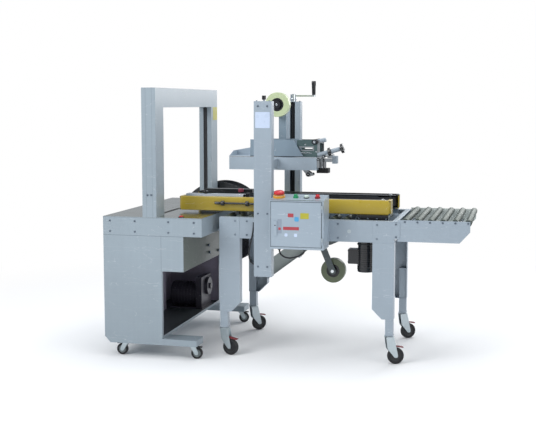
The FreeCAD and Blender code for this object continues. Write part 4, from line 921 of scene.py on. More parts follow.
@dataclass(frozen=True)
class Caster:
    """Swivelling caster: crown, pressed fork, wheel with tyre and hub, and a brake pedal."""

    name: str
    angle: float
    radius: float
    trail: float
    top: float
    width: float
    stem: float
    pedal: Finish
    hub: Finish

    def place(self) -> tuple[float, float]:
        """Swivel axis in x and y, from the wheel's place."""
        centre = LAYOUT.centre(self.node("wheel"))
        turn = math.radians(self.angle)
        return float(centre[0] - self.trail * math.cos(turn)), float(centre[1] - self.trail * math.sin(turn))

    def node(self, part: str) -> str:
        """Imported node's name of the fork or the wheel."""
        machine, number = self.name.rsplit("_", 1)
        return f"{machine}_{part}_{number}"

    def build(self) -> None:
        """Builds and dresses every piece."""
        x, y = self.place()
        r, wide, z = self.radius, self.width, self.radius
        axle = (x + self.trail, y, z)

        def spin(surface: Surface) -> Surface:
            """Surface turned to the caster's resting angle."""
            return turned(surface, (x, y, 0), self.angle)

        half = wide / 2
        tread = [[-half + 4, r * 0.64], [-half, r * 0.7], [-half, r * 0.86]] + rim_round(
            -half + r * 0.13, r * 0.87, r * 0.13, 180, 90, 6
        )
        tread += [[0.0, r]] + rim_round(half - r * 0.13, r * 0.87, r * 0.13, 90, 0, 6) + [
            [half, r * 0.86], [half, r * 0.7], [half - 4, r * 0.64]
        ]
        tyre = make_piece(
            f"{self.name}_tyre", [
                spin(lathe(tread, axle, Axis.Y, 56, True))
            ], self.node("wheel")
        )
        dress(tyre, "tyre", TYRE)
        hub = [
            [-half - 1, r * 0.16],
            [-half - 1, r * 0.27],
            [-half + 3, r * 0.31],
            [-half + 4, r * 0.6],
            [-half + 2.5, r * 0.66],
        ]
        hub += [
            [half - 2.5, r * 0.66],
            [half - 4, r * 0.6],
            [half - 3, r * 0.31],
            [half + 1, r * 0.27],
            [half + 1, r * 0.16],
        ]
        disc = make_piece(
            f"{self.name}_hub", [spin(lathe(hub, axle, Axis.Y, 40, True))], self.node("wheel")
        )
        dress(disc, f"hub_{'grey' if self.hub is HUB_GREY else 'black'}", self.hub)
        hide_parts(self.node("wheel"))
        crown = [
            [self.top - 7.5, 0.0],
            [self.top - 7.5, r * 0.5],
            [self.top - 6, r * 0.6],
            [self.top - 3.2, r * 0.62],
            [self.top - 2.6, r * 0.53],
        ]
        crown += [
            [self.top - 1.8, r * 0.53],
            [self.top - 1.2, r * 0.48],
            [self.top - 0.6, r * 0.4],
            [self.top - 0.6, self.stem],
        ]
        crown += [[self.top + 3.4, self.stem], [self.top + 3.4, 0.0]]
        parts = [lathe(crown, (x, y, 0), Axis.Z, 36)]
        reach, bridge = r * 0.5, 2 * r + 4
        outline = corner_round(
            [
                (x - reach, self.top - 7),
                (x + reach, self.top - 7),
                (x + self.trail + 9, z + 6),
                (x + self.trail + 7, z - 9),
                (x + self.trail - 9, z - 9),
                (x - reach * 0.6, bridge - 8),
            ],
            [2, 4, 5, 6, 6, 8],
        )
        for side in (-1, 1):
            inner, outer = sorted((y + side * (half + 2), y + side * (half + 5)))
            parts.append(xz_plate(outline, inner, outer))
            nut = sorted((y + side * (half + 5), y + side * (half + 5) + side * 3.2))
            parts.append(xz_plate(circle(r * 0.19, 6) + (x + self.trail, z), *nut))
        parts.append(drum((x + self.trail, y, z), Axis.Y, r * 0.13, -half - 5, half + 5, 0.4, 20))
        low = min(2 * r + 8, self.top - 9)
        parts.append(
            slab((x + reach - 8, y - half - 2, low), (x + reach, y + half + 2, self.top - 7), Axis.Y)
        )
        fork = make_piece(
            f"{self.name}_fork", [spin(part) for part in parts], self.node("fork"), 0.5
        )
        dress(fork, "caster_zinc", ZINC)
        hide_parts(self.node("fork"))
        tip = (x + self.trail + r * 0.9, 2 * r - 2)
        high = min(2 * r + 14, self.top - 3)
        shape = corner_round(
            [(x + reach - 4, low), tip, (tip[0] + 1.5, tip[1] + 6), (x + reach - 4, high)], [1, 1, 2, 1]
        )
        pedal = make_piece(
            f"{self.name}_pedal",
            [spin(xz_plate(shape, y - wide * 0.42, y + wide * 0.42))],
            self.node("fork"),
            1.2,
        )
        dress(pedal, f"pedal_{'red' if self.pedal is PEDAL_RED else 'black'}", self.pedal)


def casters() -> list[Caster]:
    """Casters of both machines, as they rest."""
    made = []
    for number, angle in enumerate((-12.0, 24.0, 40.0, 32.0), 1):
        made.append(Caster(f"sealer_{number}", angle, 45.0, 36.0, 157.0, 26.0, 6.0, PEDAL_RED, BLACK_PLASTIC))
    for number, angle in enumerate((180.0, 8.0, 150.0, 20.0), 1):
        made.append(Caster(f"strapper_{number}", angle, 32.0, 22.0, 75.0, 20.0, 5.0, BLACK_PLASTIC, HUB_GREY))
    return made


@dataclass(frozen=True)
class Reel:
    """Strap reel on its spindle: slotted flanges with rolled rims, drum and the wound coil."""

    x: float = 316.0
    z: float = 620.0
    front: float = 649.0
    depth: float = 166.0
    radius: float = 275.0
    drum: float = 98.0
    coil: float = 235.0
    spokes: int = 8
    rib: float = 3.2
    bead: float = 2.7

    def rim(self, y: float) -> Surface:
        """Rolled bead round a flange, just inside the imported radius."""
        count = 120
        turn = np.linspace(0, FULL_TURN, count, endpoint=False)
        reach = self.radius - 2.8
        path = np.stack([self.x + reach * np.cos(turn), np.full(count, y), self.z + reach * np.sin(turn)], -1)
        return carried(path, circle(self.bead, 10), (0, 1, 0), closed_path=True)

    def ribs(self, y: float, sign: float) -> list[Surface]:
        """Raised ribs between the slots: tapered bars from the hub to the rim."""
        bars = []
        for k in range(self.spokes):
            foot, tip = self.z + 30, self.z + 266
            outline = [
                (self.x - self.rib, foot),
                (self.x + self.rib, foot),
                (self.x + 1.6, tip),
                (self.x - 1.6, tip),
            ]
            low, high = sorted((y, y + sign * 1.6))
            bars.append(turned(xz_plate(outline, low, high), (self.x, y, self.z), 22.5 + 45.0 * k, Axis.Y))
        return bars

    def build(self) -> None:
        """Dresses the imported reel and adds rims, ribs, hub caps and the coil's layers."""
        back = self.front + self.depth
        centre = (self.x, 0.0, self.z)
        strap = Wound(linear(196, 200, 196), linear(120, 128, 128), (self.x, None, self.z), 2.2, 0.34, 0.2)
        coil_zone = Zone(
            strap,
            (None, self.front + 3.2, None),
            (None, back - 3.2, None),
            ((self.x, None, self.z), self.drum + 0.1, self.coil + 3),
        )
        dress_node("strap_reel", REEL_BLACK, [coil_zone])
        faces = [self.rim(self.front + 3), self.rim(back - 3)]
        faces += self.ribs(self.front + 0.2, -1.4) + self.ribs(back - 0.2, 1.4)
        rims = make_piece("reel_rims", faces, "reel")
        dress(rims, "reel_gloss", SATIN_BLACK)
        ends = ((self.front - 3.0, self.front + 0.5), (back - 0.5, back + 0.4))
        hub = [sleeve((self.x, 0, self.z), Axis.Y, 38.0, 14.0, low, high) for low, high in ends]
        dress(make_piece("reel_hub_caps", hub, "reel"), "reel_hub", HUB_GREY)
        layer = np.linspace(0, 1, 33)
        wound = self.coil + 0.8 + 0.9 * np.abs(np.sin(layer * 10 * math.pi))
        rows = np.stack([self.front + 4.0 + layer * (self.depth - 8.0), wound], -1).tolist()
        rows = [[rows[0][0], self.coil - 6]] + rows + [[rows[-1][0], self.coil - 6]]
        winds = make_piece("strap_winds", [lathe(rows, centre, Axis.Y, 96, True)], "reel")
        dress(winds, "strap_winds", strap)


@dataclass(frozen=True)
class Strapper:
    """Arch strapper: cabinet, table, arch, strap track, rails and what stands inside."""

    length: float = 570.0
    top: float = 787.0
    apron: float = 685.0
    front: float = -519.0
    back: float = 623.0
    arch_right: float = 313.0
    arch_top: float = 1489.0
    sheet: float = 2.0
    cabinet: float = 339.0
    housing: float = 465.0
    rail: float = 114.0

    def cabinet_looks(self) -> None:
        """Light outside, dark inside, with the panel's seams; inside, the bay's walls are lightened as painted
        light, and its floor and the housing's right face darkened as painted shade.
        """
        s = self.sheet * 0.6
        # Bay walls in the lighter inside paint: painted light.
        bay = Zone(
            INNER_PAINTED_LIGHT, (s, self.front + s + 2.0, self.rail + s), (self.cabinet - 0.4, 577.0 - s, self.apron)
        )
        seams = [
            Seam(
                (self.cabinet - 3.2, self.front - 1, self.apron - 194),
                (self.cabinet - 1.0, self.front + 2.5, self.apron),
                0.4,
            ),
            Seam((None, self.front - 1, self.apron - 2.2), (None, self.front + 2.5, self.apron + 1), 0.5),
        ]
        shaded = Zone(
            SHADED_PAINT, (self.housing - 0.6, self.front + 2.5, None), (
                self.housing + 1, None, self.apron + 1
            )
        )
        # Cabinet floor in a darker paint: painted shade.
        ground = Zone(
            BAY_FLOOR_PAINTED_SHADE, (s, self.front + 3.2, self.rail + s), (self.cabinet - 0.4, 576.0, self.rail + 8.0)
        )
        dress_node("strapper_cabinet", BODY, [bay, ground, shaded], seams)

    def table_looks(self) -> None:
        """Brushed steel top over painted aprons."""
        steel = Zone(TABLE_STEEL, (None, None, self.top - 0.6), (None, None, self.top + 0.4))
        black = Zone(
            SATIN_BLACK, (400.0, self.front + 20, self.top + 0.4), (480.0, self.front + 80, self.top + 8)
        )
        seams = [
            Seam((None, self.front - 8, self.top - 4.8), (None, self.front + 0.6, self.top - 3.6), 0.5),
            Seam((self.length - 0.6, None, self.top - 4.8), (self.length + 1, None, self.top - 3.6), 0.5),
        ]
        dress_node("strapper_table", BODY, [steel, black], seams)
        dress_node("strapper_button", RED_CAP)

    def arch_looks(self) -> None:
        """Painted arch with the covers' faint upright joints on the operator's side."""
        seams = [
            Seam(
                (x, self.front - 1, self.top), (x + 1.3, self.front + 1, self.arch_top), 0.4
            ) for x in (256.0, 291.0)
        ]
        dress_node("strapper_arch", BODY, [], seams)
        dress_node("strap_track", Moulded(linear(28, 30, 34), 0.34, 0.2))
        strips = [
            slab(
                (x, 494.4, self.top + 4), (x + 5.0, 496.2, self.arch_top - 110.0), Axis.Y
            ) for x in (261.0, 280.0)
        ]
        strips += [
            slab(
                (x, -392.2, self.top + 4), (x + 5.0, -390.4, self.arch_top - 110.0), Axis.Y
            ) for x in (261.0, 280.0)
        ]
        dress(make_piece("track_guide_strips", strips, "machine"), "slot_rims", SATIN_BLACK)
        face = self.arch_right + 0.2
        label = plate(box_outline(533.0, 618.0, 1299.0, 1381.0, 4.0), Axis.X, face, face + 0.8)
        dress(
            make_piece("arch_blank_plate", [label], "machine", 0.3),
            "blank_yellow",
            BLANK_YELLOW,
        )

    def details(self) -> None:
        """Slot rims in the table, vents and the rails' end caps."""
        lips = []
        for side in (-1, 1):
            x = 273.0 + side * 9.2
            lips.append(
                slab(
                    (x - 1.2, self.front + 128, self.top), (x + 1.2, self.back - 128, self.top + 1.2), Axis.Y
                )
            )
        dress(make_piece("slot_rims", lips, "machine"), "slot_rims", SATIN_BLACK)
        vents = []
        for k in range(9):
            z = 250.0 + 16.0 * k
            vents.append(slab((60.0, 577.0, z), (200.0, 579.4, z + 7.0), Axis.Y, 3.0))
        dress(make_piece("cabinet_louvres", vents, "machine", 1.0), "louvres", BODY)
        plugs = []
        for y0 in (self.front, 459.0):
            plugs.append(slab((534.6, y0 + 2.5, 81.5), (537.0, y0 + 115.5, 111.5), Axis.X, 3.0))
        dress(make_piece("rail_end_caps", plugs, "machine", 0.8), "rail_caps", BODY)

    def unit_looks(self) -> None:
        """Cast strapping head, its dark cams, the motor and gearbox on the floor and the strap pool box; the
        motor is darkened as painted shade and the head's left part lightened as painted light.
        """
        floor = self.rail + self.sheet
        zones = [
            Zone(TABLE_STEEL, (None, None, self.top - 5), (None, None, None)),
            Zone(
                DARK_STEEL,
                (None, None, self.apron - 100),
                (None, None, self.apron - 10),
                ((273.0, None, self.apron - 60), 0.0, 35.0),
            ),
            # Motor in dark plum: painted shade.
            Zone(PLUM_PAINTED_SHADE, (78.0, None, floor), (340.0, None, floor + 220)),
            # Head's left part in the lighter inside paint: painted light.
            Zone(INNER_PAINTED_LIGHT, (None, None, floor), (80.2, None, floor + 301)),
        ]
        dress_node("strapping_unit", CAST_STEEL, zones)

    def build(self) -> None:
        """Builds and dresses the strapper."""
        self.cabinet_looks()
        self.table_looks()
        self.arch_looks()
        self.unit_looks()
        self.details()
        dress_node("strapper_rails", BODY, [Zone(ZINC, (None, None, 70.0), (None, None, 78.8))])
        dress_node("reel_stand", ZINC, [Zone(SATIN_BLACK, (None, 815.0, None))])
        Reel().build()


@dataclass(frozen=True)
class Roller:
    """Bed roller: zinc tube with rolled rims, black bearing cups and its axle."""

    radius: float = 18.0
    rim: float = 1.6

    def tube(self, x: float, z: float, low: float, high: float) -> Surface:
        """Tube from low to high along y, its ends turned in to the bearing cups."""
        r = self.radius
        rows = [[low + 2.2, r * 0.56], [low + 0.2, r * 0.6], [low, r * 0.72]] + rim_round(
            low + self.rim, r - self.rim, self.rim, 180, 90
        )
        rows += rim_round(high - self.rim, r - self.rim, self.rim, 90, 0) + [
            [high, r * 0.72], [high - 0.2, r * 0.6], [high - 2.2, r * 0.56]
        ]
        return lathe(rows, (x, 0, z), Axis.Y, 32, True)

    def cups(self, x: float, z: float, low: float, high: float, bore: float) -> list[Surface]:
        """Bearing cups in both ends."""
        r = self.radius * 0.58
        return [
            sleeve((x, 0, z), Axis.Y, r, bore, low - 0.6, low + 6, 0.5, 24),
            sleeve((x, 0, z), Axis.Y, r, bore, high - 6, high + 0.6, 0.5, 24),
        ]


@dataclass(frozen=True)
class SealerFrame:
    """Side frames, legs, roller bed and the infeed table."""

    left: float = 615.0
    right: float = 1587.0
    half: float = 338.0
    top: float = 779.0
    bottom: float = 663.0
    leg: float = 117.0
    pitch: float = 66.0
    centre: float = 103.0
    rollers: Roller = Roller()

    def leg_cheeks(self) -> None:
        """Legs' upper cheeks, lapped over the side frames' faces."""
        cheeks = []
        for x0 in (self.left, self.right - self.leg):
            cheek = slab(
                (x0, -self.half - 1.4, self.bottom - 0.5), (x0 + self.leg, -self.half, self.top), Axis.Y
            )
            cheeks += [cheek, mirrored(cheek)]
        dress(make_piece("leg_cheeks", cheeks, "machine", 0.4), "frame_sheet", FRAME_PAINT)

    def bed(self) -> None:
        """Bed rollers in their three rows."""
        z = self.top - 9.0
        first = self.left + 35.0
        tubes, cups, axles = [], [], []
        edge = self.half - 40.0
        for k in range(14):
            x = first + k * self.pitch
            rows = []
            if k < 11:
                rows += [(-edge + 4, -self.centre - 4), (self.centre + 4, edge - 4)]
            if k in (0, 1, 2, 3, 4, 10, 11, 12, 13):
                rows.append((-self.centre + 7, self.centre - 7))
            for low, high in rows:
                tubes.append(self.rollers.tube(x, z, low, high))
                cups += self.rollers.cups(x, z, low, high, 5.2)
                reach = 7.0 if abs(low) > self.centre else 3.8
                axles.append(drum((x, 0, z), Axis.Y, 5.0, low - reach, high + reach, 0.4, 12))
        tube_piece = make_piece("bed_roller_tubes", tubes, "machine")
        dress(tube_piece, "galvanised", GALVANISED)
        dress(make_piece("bed_roller_cups", cups, "machine"), "cups_black", BLACK_PLASTIC)
        dress(make_piece("bed_roller_axles", axles, "machine"), "axle_steel", STEEL)
        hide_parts("bed_rollers")

    def infeed(self) -> None:
        """Infeed rollers, each on its own body."""
        for number in range(1, 7):
            node = f"infeed_roller_{number}"
            low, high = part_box(node)
            x, _, z = LAYOUT.centre(node)
            y0, y1 = low.y * 1000 + LAYOUT.origin[1], high.y * 1000 + LAYOUT.origin[1]
            tube = make_piece(
                f"infeed_tube_{number}", [self.rollers.tube(x, z, y0 + 1, y1 - 1)], node
            )
            dress(tube, "galvanised", GALVANISED)
            cup = make_piece(
                f"infeed_cups_{number}", self.rollers.cups(x, z, y0 + 1.2, y1 - 1.2, 6.4), node
            )
            dress(cup, "cups_black", BLACK_PLASTIC)
            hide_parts(node)

    def build(self) -> None:
        """Builds and dresses the frame."""
        dress_node(
            "side_frames", FRAME_PAINT, [
                Zone(ZINC, ring=((x, None, 720.0), 0.0, 10.6)) for x in (683.0, 1343.0)
            ]
        )
        # The far brace and the infeed table's far inner face take the pale paint: painted light.
        dress_node(
            "legs",
            FRAME_PAINT,
            [Zone(PALE_PAINTED_LIGHT, (self.left + self.leg + 1, 290.0, 325.0), (1250.0, None, self.bottom - 0.5))],
        )
        dress_node(
            "infeed_table",
            FRAME_PAINT,
            [Zone(PALE_PAINTED_LIGHT, (self.right + 16.5, 300.0, None), (None, self.half - 0.8, None))],
        )
        strip = [
            slab(
                (self.right - 14.0, -self.half + 2, self.top - 2.5),
                (self.right + 15.0, self.half - 2, self.top + 1.0),
                Axis.Y,
                1.0,
            )
        ]
        dress(make_piece("bed_end_strip", strip, "machine", 0.4), "lightened_frame_paint", LIGHTENED_FRAME_PAINT)
        dress_node("fasteners", BOLT_STEEL)
        self.leg_cheeks()
        self.bed()
        self.infeed()


@dataclass(frozen=True)
class TapeRoll:
    """Roll of film on its core and hub."""

    name: str
    node: str
    centre: tuple[float, float]
    film: Wound
    radius: float = 70.0
    core: float = 38.0
    width: float = 50.0

    def build(self) -> None:
        """Film with softened rims, card core and moulded hub."""
        x, z = self.centre
        half, r = self.width / 2, self.radius
        film = [[-half, self.core], [-half, r - 9], [-half, r - 3]] + rim_round(
            -half + 1.6, r - 1.6, 1.6, 180, 90
        )
        film += rim_round(half - 1.6, r - 1.6, 1.6, 90, 0) + [[half, r - 3], [half, r - 9], [half, self.core]]
        roll = make_piece(
            f"{self.name}_film", [lathe(film, (x, 0, z), Axis.Y, 72, True)], self.body()
        )
        dress(roll, f"{self.name}_film", self.film)
        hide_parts(self.node)
        core = [sleeve((x, 0, z), Axis.Y, self.core, self.core - 4, -half + 0.6, half - 0.6, 0.6, 48)]
        dress(make_piece(f"{self.name}_core", core, self.body()), "core_black", BLACK_PLASTIC)
        hub = [
            [-half + 3, 12.06], [-half + 3, 24.0], [-half + 6, 26.0], [-half + 6, 30.5], [-half + 2.2, 31.5],
            [-half + 2.2, self.core - 4.02],
            [half - 2.2, self.core - 4.02],
            [half - 2.2, 31.5],
            [half - 6, 30.5],
            [half - 6, 12.06],
        ]
        dress(
            make_piece(
                f"{self.name}_hub", [lathe(hub, (x, 0, z), Axis.Y, 48, True)], self.body()
            ),
            "hub_gloss",
            SATIN_BLACK,
        )

    def body(self) -> str:
        """Body that the roll's node rides on."""
        return next(
            name for name, nodes in frame["record"]["behaviour"]["bodies"].items() if self.node in nodes
        )


@dataclass(frozen=True)
class Lift:
    """Columns, lead screw with its crank and the carriage with the beam."""

    x: float = 877.0
    rod_y: float = 362.0
    left: float = 828.0
    right: float = 926.0
    face: float = 393.0
    low: float = 462.0
    top: float = 1416.0
    foot: float = 668.0
    screw: float = 10.0
    pitch: float = 5.0

    def thread(self) -> Surface:
        """Screw thread: radius = 9.4 + a triangle wave of the angle and height, on one spiral grid."""
        start, end, steps = self.foot + 30.0, self.top - 4.0, 14
        turns = int((end - start) / self.pitch)
        rows = np.arange(turns * 4 + 1)
        turn = np.arange(steps) * FULL_TURN / steps
        height = start + rows * self.pitch / 4
        phase = (height[:, None] / self.pitch - turn[None] / FULL_TURN) % 1.0
        radius = self.screw + 0.2 + 1.5 * (1 - np.abs(2 * phase - 1))
        x = self.x + radius * np.cos(turn)
        y = self.rod_y + radius * np.sin(turn)
        points = np.stack([x, y, np.broadcast_to(height[:, None], radius.shape)], -1).reshape(-1, 3)
        last = (len(rows) - 1) * steps
        return points, grid_faces(len(rows), steps, False, True) + [
            list(range(steps)), list(range(last, last + steps))
        ]

    def crank(self) -> None:
        """Screw, hub, arm and turned grip."""
        dark = Zone(SCREW_STEEL, (None, None, None), (None, None, self.top - 1))
        dress_node("lift_crank", BRIGHT, [dark])
        thread = make_piece("lift_thread", [self.thread()], "crank", 0.0, 60.0)
        dress(thread, "thread_dark", THREAD_STEEL)
        x, z = self.x + 126.0, self.top + 38.5
        grip = [
            [0.0, 5.06],
            [0.0, 8.6],
            [1.4, 10.2],
            [6.0, 10.8],
            [40.0, 11.9],
            [70.0, 13.6],
            [79.0, 14.0],
            [83.0, 12.4],
            [84.0, 9.0],
            [84.0, 0.0],
        ]
        grip += [[81.5, 0.0], [81.5, 5.06]]
        piece = make_piece(
            "crank_grip_turned", [lathe(grip, (x, self.rod_y, z), Axis.Z, 36, True)], "grip"
        )
        dress(piece, "grip_black", SATIN_BLACK)
        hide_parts("crank_grip")
        hub = [sleeve((self.x, self.rod_y, 0), Axis.Z, 20.0, 17.9, self.top + 8, self.top + 20, 1.0)]
        hub.append(drum((self.x, self.rod_y, 0), Axis.Z, 8.0, self.top + 42, self.top + 45.5, 1.2, 6))
        dress(make_piece("crank_hub_band", hub, "crank"), "bright", BRIGHT)

    def columns(self) -> None:
        """Painted columns with end caps, the black knob and the blank plate."""
        knob = Zone(SATIN_BLACK, (None, -self.rod_y - 14, self.top + 8), (None, -self.rod_y + 14, None))
        rod = Zone(
            BRIGHT,
            (None, None, self.low),
            (None, None, self.top - 4),
            ((self.x, -self.rod_y, None), 0.0, 8.6),
        )
        dress_node("columns", FRAME_PAINT, [rod, knob])
        caps = []
        for side in (-1, 1):
            for x in (self.left + 14, self.right - 14):
                caps.append(
                    drum((x, side * (self.face - 9), 0), Axis.Z, 4.6, self.top, self.top + 4.2, 1.2, 16)
                )
        dress(make_piece("column_cap_screws", caps, "machine"), "bolt_steel", BOLT_STEEL)
        face = -self.face - 0.1
        label = xz_plate(box_outline(836.0, 917.0, 1272.0, 1358.0, 4.0), face - 0.8, face)
        dress(
            make_piece("column_blank_plate", [label], "machine", 0.3),
            "blank_white",
            BLANK_WHITE,
        )

    def build(self) -> None:
        """Builds and dresses the lift; the head beam is drawn in a lighter paint as painted light."""
        self.crank()
        self.columns()
        dress_node("head_carriage", FRAME_PAINT)
        # The bright strip along the beam's top front edge is a painted highlight.
        dress_node("head_beam", LIGHTENED_FRAME_PAINT, [Zone(BRIGHT, (None, -86.0, 1099.4), (None, -84.6, 1105.6))])


@dataclass(frozen=True)
class TapeHeads:
    """Top cartridge with its rollers, springs, press arm and squeezer, and the bottom cartridge."""

    beam_end: float = 1112.0
    beam_top: float = 1103.0
    guide: float = 994.0
    pivot: tuple[float, float] = (1000.0, 1062.0)
    rise: float = 15.5
    low_left: float = 945.0
    low_right: float = 1275.0
    table: float = 781.0

    def top(self) -> None:
        """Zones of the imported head, and the added rollers, springs and knobs."""
        z0, x1 = self.beam_top, self.beam_end
        zones = [
            Zone(BLACK_PAINT, (None, -83.0, z0), (1038.0, -78.0, z0 + 3.6)),
            Zone(GUIDE_STEEL, (self.guide - 1, -64.0, z0 - 1), (x1 + 20, 64.0, None)),
            Zone(STEEL, (self.guide + 12, -64.5, z0 + 34), (self.guide + 98, -59.0, z0 + 60)),
            Zone(BRIGHT, (self.guide + 112, -62.0, z0 + 70), (self.guide + 156, -38.0, z0 + 100)),
            Zone(BLACK_PAINT, (740.0, -33.5, 990.0), (1080.0, 33.5, z0 + 31)),
            Zone(STEEL, (x1 - 0.5, -103.0, z0 - 70), (None, 96.0, None)),
            Zone(PRESS_RUBBER, (x1 - 11, -33.0, z0 - 95), (x1 + 57, 33.0, z0 - 65.5)),
            Zone(SATIN_BLACK, (x1 + 25.5, -41.0, z0 - 67), (x1 + 32.5, 41.0, z0 - 11.5)),
            Zone(FRAME_PAINT, (x1 + 77.5, -25.0, z0 - 40), (x1 + 105, 25.0, z0 + 5)),
            Zone(SATIN_BLACK, (838.0, -36.0, 1360.0), (890.0, 30.0, 1430.0)),
        ]
        dress_node("top_tape_head", HEAD_PAINT, zones)
        mid = (self.guide + 105.0, z0 + 85.0)
        black = [sleeve((mid[0], 0, mid[1]), Axis.Y, 15.5, 11.1, -90.0, -66.0, 2.0)]
        black += [sleeve((mid[0], 0, mid[1]), Axis.Y, 15.0, 11.1, -58.0, 58.0, 2.0)]
        black += [
            sleeve((self.guide + dx, 0, z0 + dz), Axis.Y, 11.0, 8.1, -56.0, 56.0, 1.5, 28)
            for dx, dz in ((60, 20), (26, 72))
        ]
        dress(
            make_piece("tape_guide_rollers", black, "top_head"), "roller_rubber", PRESS_RUBBER
        )
        bright = [drum((mid[0], 0, mid[1]), Axis.Y, 6.5, -93.5, -82.0, 1.5, 20)]
        for dx, dz in ((18.0, 16.0), (48.0, 70.0), (112.0, 30.0)):
            bright.append(drum((self.guide + dx, 0, z0 + dz), Axis.Y, 4.2, -66.5, -63.0, 1.0, 14))
        bright += [coil_spring((self.guide + 24, -68.0, z0 + 24), Axis.X, 3.6, 52.0, 13, 0.7)]
        bright += [slab((self.guide + 22, -67.0, z0 + 20), (self.guide + 86, -63.2, z0 + 23), Axis.Y, 1.0)]
        bright += [drum((868.0, 0, 1397.0), Axis.Y, 6.5, -37.5, -34.0, 1.2, 20)]
        dress(make_piece("tape_guide_hardware", bright, "top_head"), "bright", BRIGHT)
        self.squeezer()
        self.press_arm()

    def squeezer(self) -> None:
        """Rising tube with its lobed clamping discs, the clamp screws and the pad's ribs."""
        z0, x1 = self.beam_top, self.beam_end
        start = (x1 + 5.0, -76.0, z0 + 12.0)

        def rising(surface: Surface) -> Surface:
            """Surface drawn along x from the tube's start, turned up to the tube's slope."""
            return turned((surface[0] + np.array(start), surface[1]), start, -self.rise, Axis.Y)

        tube = [
            rising(drum((0, 0, 0), Axis.X, 12.4, 0.0, 132.4, 1.5, 36)),
            rising(drum((0, 0, 0), Axis.X, 6.0, 130.0, 140.0, 0.5, 18)),
        ]
        dress(make_piece("squeezer_tube", tube, "top_head"), "frame_sheet", FRAME_PAINT)
        lobes = np.arange(72) * FULL_TURN / 72
        shape = 1 - 0.035 * (1 + np.cos(9 * lobes))
        black = []
        for radius, low, high in ((23.6, 63.4, 78.6), (26.8, 137.4, 153.6)):
            rim = np.stack([radius * shape * np.cos(lobes), radius * shape * np.sin(lobes)], -1)
            black.append(rising(plate(rim, Axis.X, low, high)))
            black.append(rising(drum((0, 0, 0), Axis.X, 15.0, low - 3.0, high + 2.0, 1.5, 30)))
        black.append(drum((x1 + 39.0, 0, z0 + 4.0), Axis.Y, 9.0, -89.0, -78.0, 1.6))
        black.append(drum((x1 + 8.0, 0, z0 - 13.0), Axis.Y, 8.0, -86.0, -78.0, 1.6))
        dress(
            make_piece("squeezer_grips", black, "top_head", 0.8), "squeezer_black", SATIN_BLACK
        )
        ribs = [
            slab((x1 - 8 + 10.6 * k, -32.6, z0 - 93.4), (x1 - 3 + 10.6 * k, 32.6, z0 - 77.6), Axis.Y, 1.5)
            for k in range(6)
        ]
        dress(make_piece("squeezer_pad_ribs", ribs, "top_head"), "roller_rubber", PRESS_RUBBER)
        screws = [drum((x1 + 8.0, 0, z0 - 13.0), Axis.Y, 3.6, -87.5, -85.0, 0.8, 12)]
        screws += [drum((x1 + 39.0, 0, z0 + 4.0), Axis.Y, 4.0, -90.5, -88.0, 0.8, 12)]
        screws += [drum((x1 + 58.0, 0, z0 + 16.0), Axis.Y, 7.0, -80.5, -77.5, 1.0, 6)]
        dress(make_piece("squeezer_hardware", screws, "top_head"), "bright", BRIGHT)
        tilt = turned(
            drum((1103.0, -50.0, z0 + 84.0), Axis.X, 12.0, 0.0, 58.0, 2.0, 32),
            (1103.0, -50.0, z0 + 84.0),
            -14.0,
            Axis.Y,
        )
        dress(make_piece("head_side_cylinder", [tilt], "top_head"), "frame_sheet", FRAME_PAINT)

    def press_arm(self) -> None:
        """Sprung front arm with rubber-covered rollers."""
        dress_node("press_arm", STEEL)
        x, z = self.pivot[0] + 51.0, self.pivot[1] - 60.0
        rolls = [
            sleeve((x, 0, z), Axis.Y, 15.6, 14.8, -19.5, 19.5, 1.5),
            sleeve((x + 21, 0, z - 1), Axis.Y, 8.6, 7.8, -19.5, 19.5, 1.0, 24),
        ]
        rolls += [
            drum((x, 0, z), Axis.Y, 10.5, -29.0, -24.2, 1.5), drum((x, 0, z), Axis.Y, 10.5, 24.2, 29.0, 1.5)
        ]
        dress(make_piece("press_rollers", rolls, "press_arm"), "roller_rubber", PRESS_RUBBER)
        pins = [
            drum((x, 0, z), Axis.Y, 4.0, -31.0, -28.6, 0.8, 14),
            drum((x, 0, z), Axis.Y, 4.0, 28.6, 31.0, 0.8, 14),
        ]
        dress(make_piece("press_arm_pins", pins, "press_arm"), "bright", BRIGHT)

    def bottom(self) -> None:
        """Cartridge under the bed with its drive sleeves."""
        hub = Zone(SATIN_BLACK, (1160.0, -35.9, 410.0), (1240.0, 36.0, 490.0))
        arm = Zone(ARM_PAINT, (1090.0, -44.5, None), (None, -35.9, 641.0))
        boss = Zone(BRIGHT, (None, -49.0, None), (None, -44.1, 600.0))
        dress_node("bottom_tape_head", HEAD_PAINT, [hub, arm, boss])
        z = self.table - 6.0
        rolls = [
            sleeve((x, 0, z), Axis.Y, 14.8, 13.9, -31.0, 31.0, 1.5) for x in (
                self.low_left + 40, self.low_right - 40
            )
        ]
        dress(
            make_piece("bottom_press_rollers", rolls, "machine"), "roller_rubber", PRESS_RUBBER
        )

    def build(self) -> None:
        """Builds and dresses both heads and their rolls."""
        self.top()
        self.bottom()
        pale = Wound(linear(198, 210, 170), linear(164, 180, 134), (868.0, None, 1397.0), 2.4, 0.4, 0.25)
        olive = Wound(linear(104, 114, 86), linear(74, 84, 60), (1199.0, None, 450.0), 2.4, 0.4, 0.25)
        TapeRoll("top_tape", "top_tape_roll", (868.0, 1397.0), pale).build()
        TapeRoll("bottom_tape", "bottom_tape_roll", (1199.0, 450.0), olive).build()


class Side(Enum):
    """Operator's side and the other."""

    NEAR = "near"
    FAR = "far"


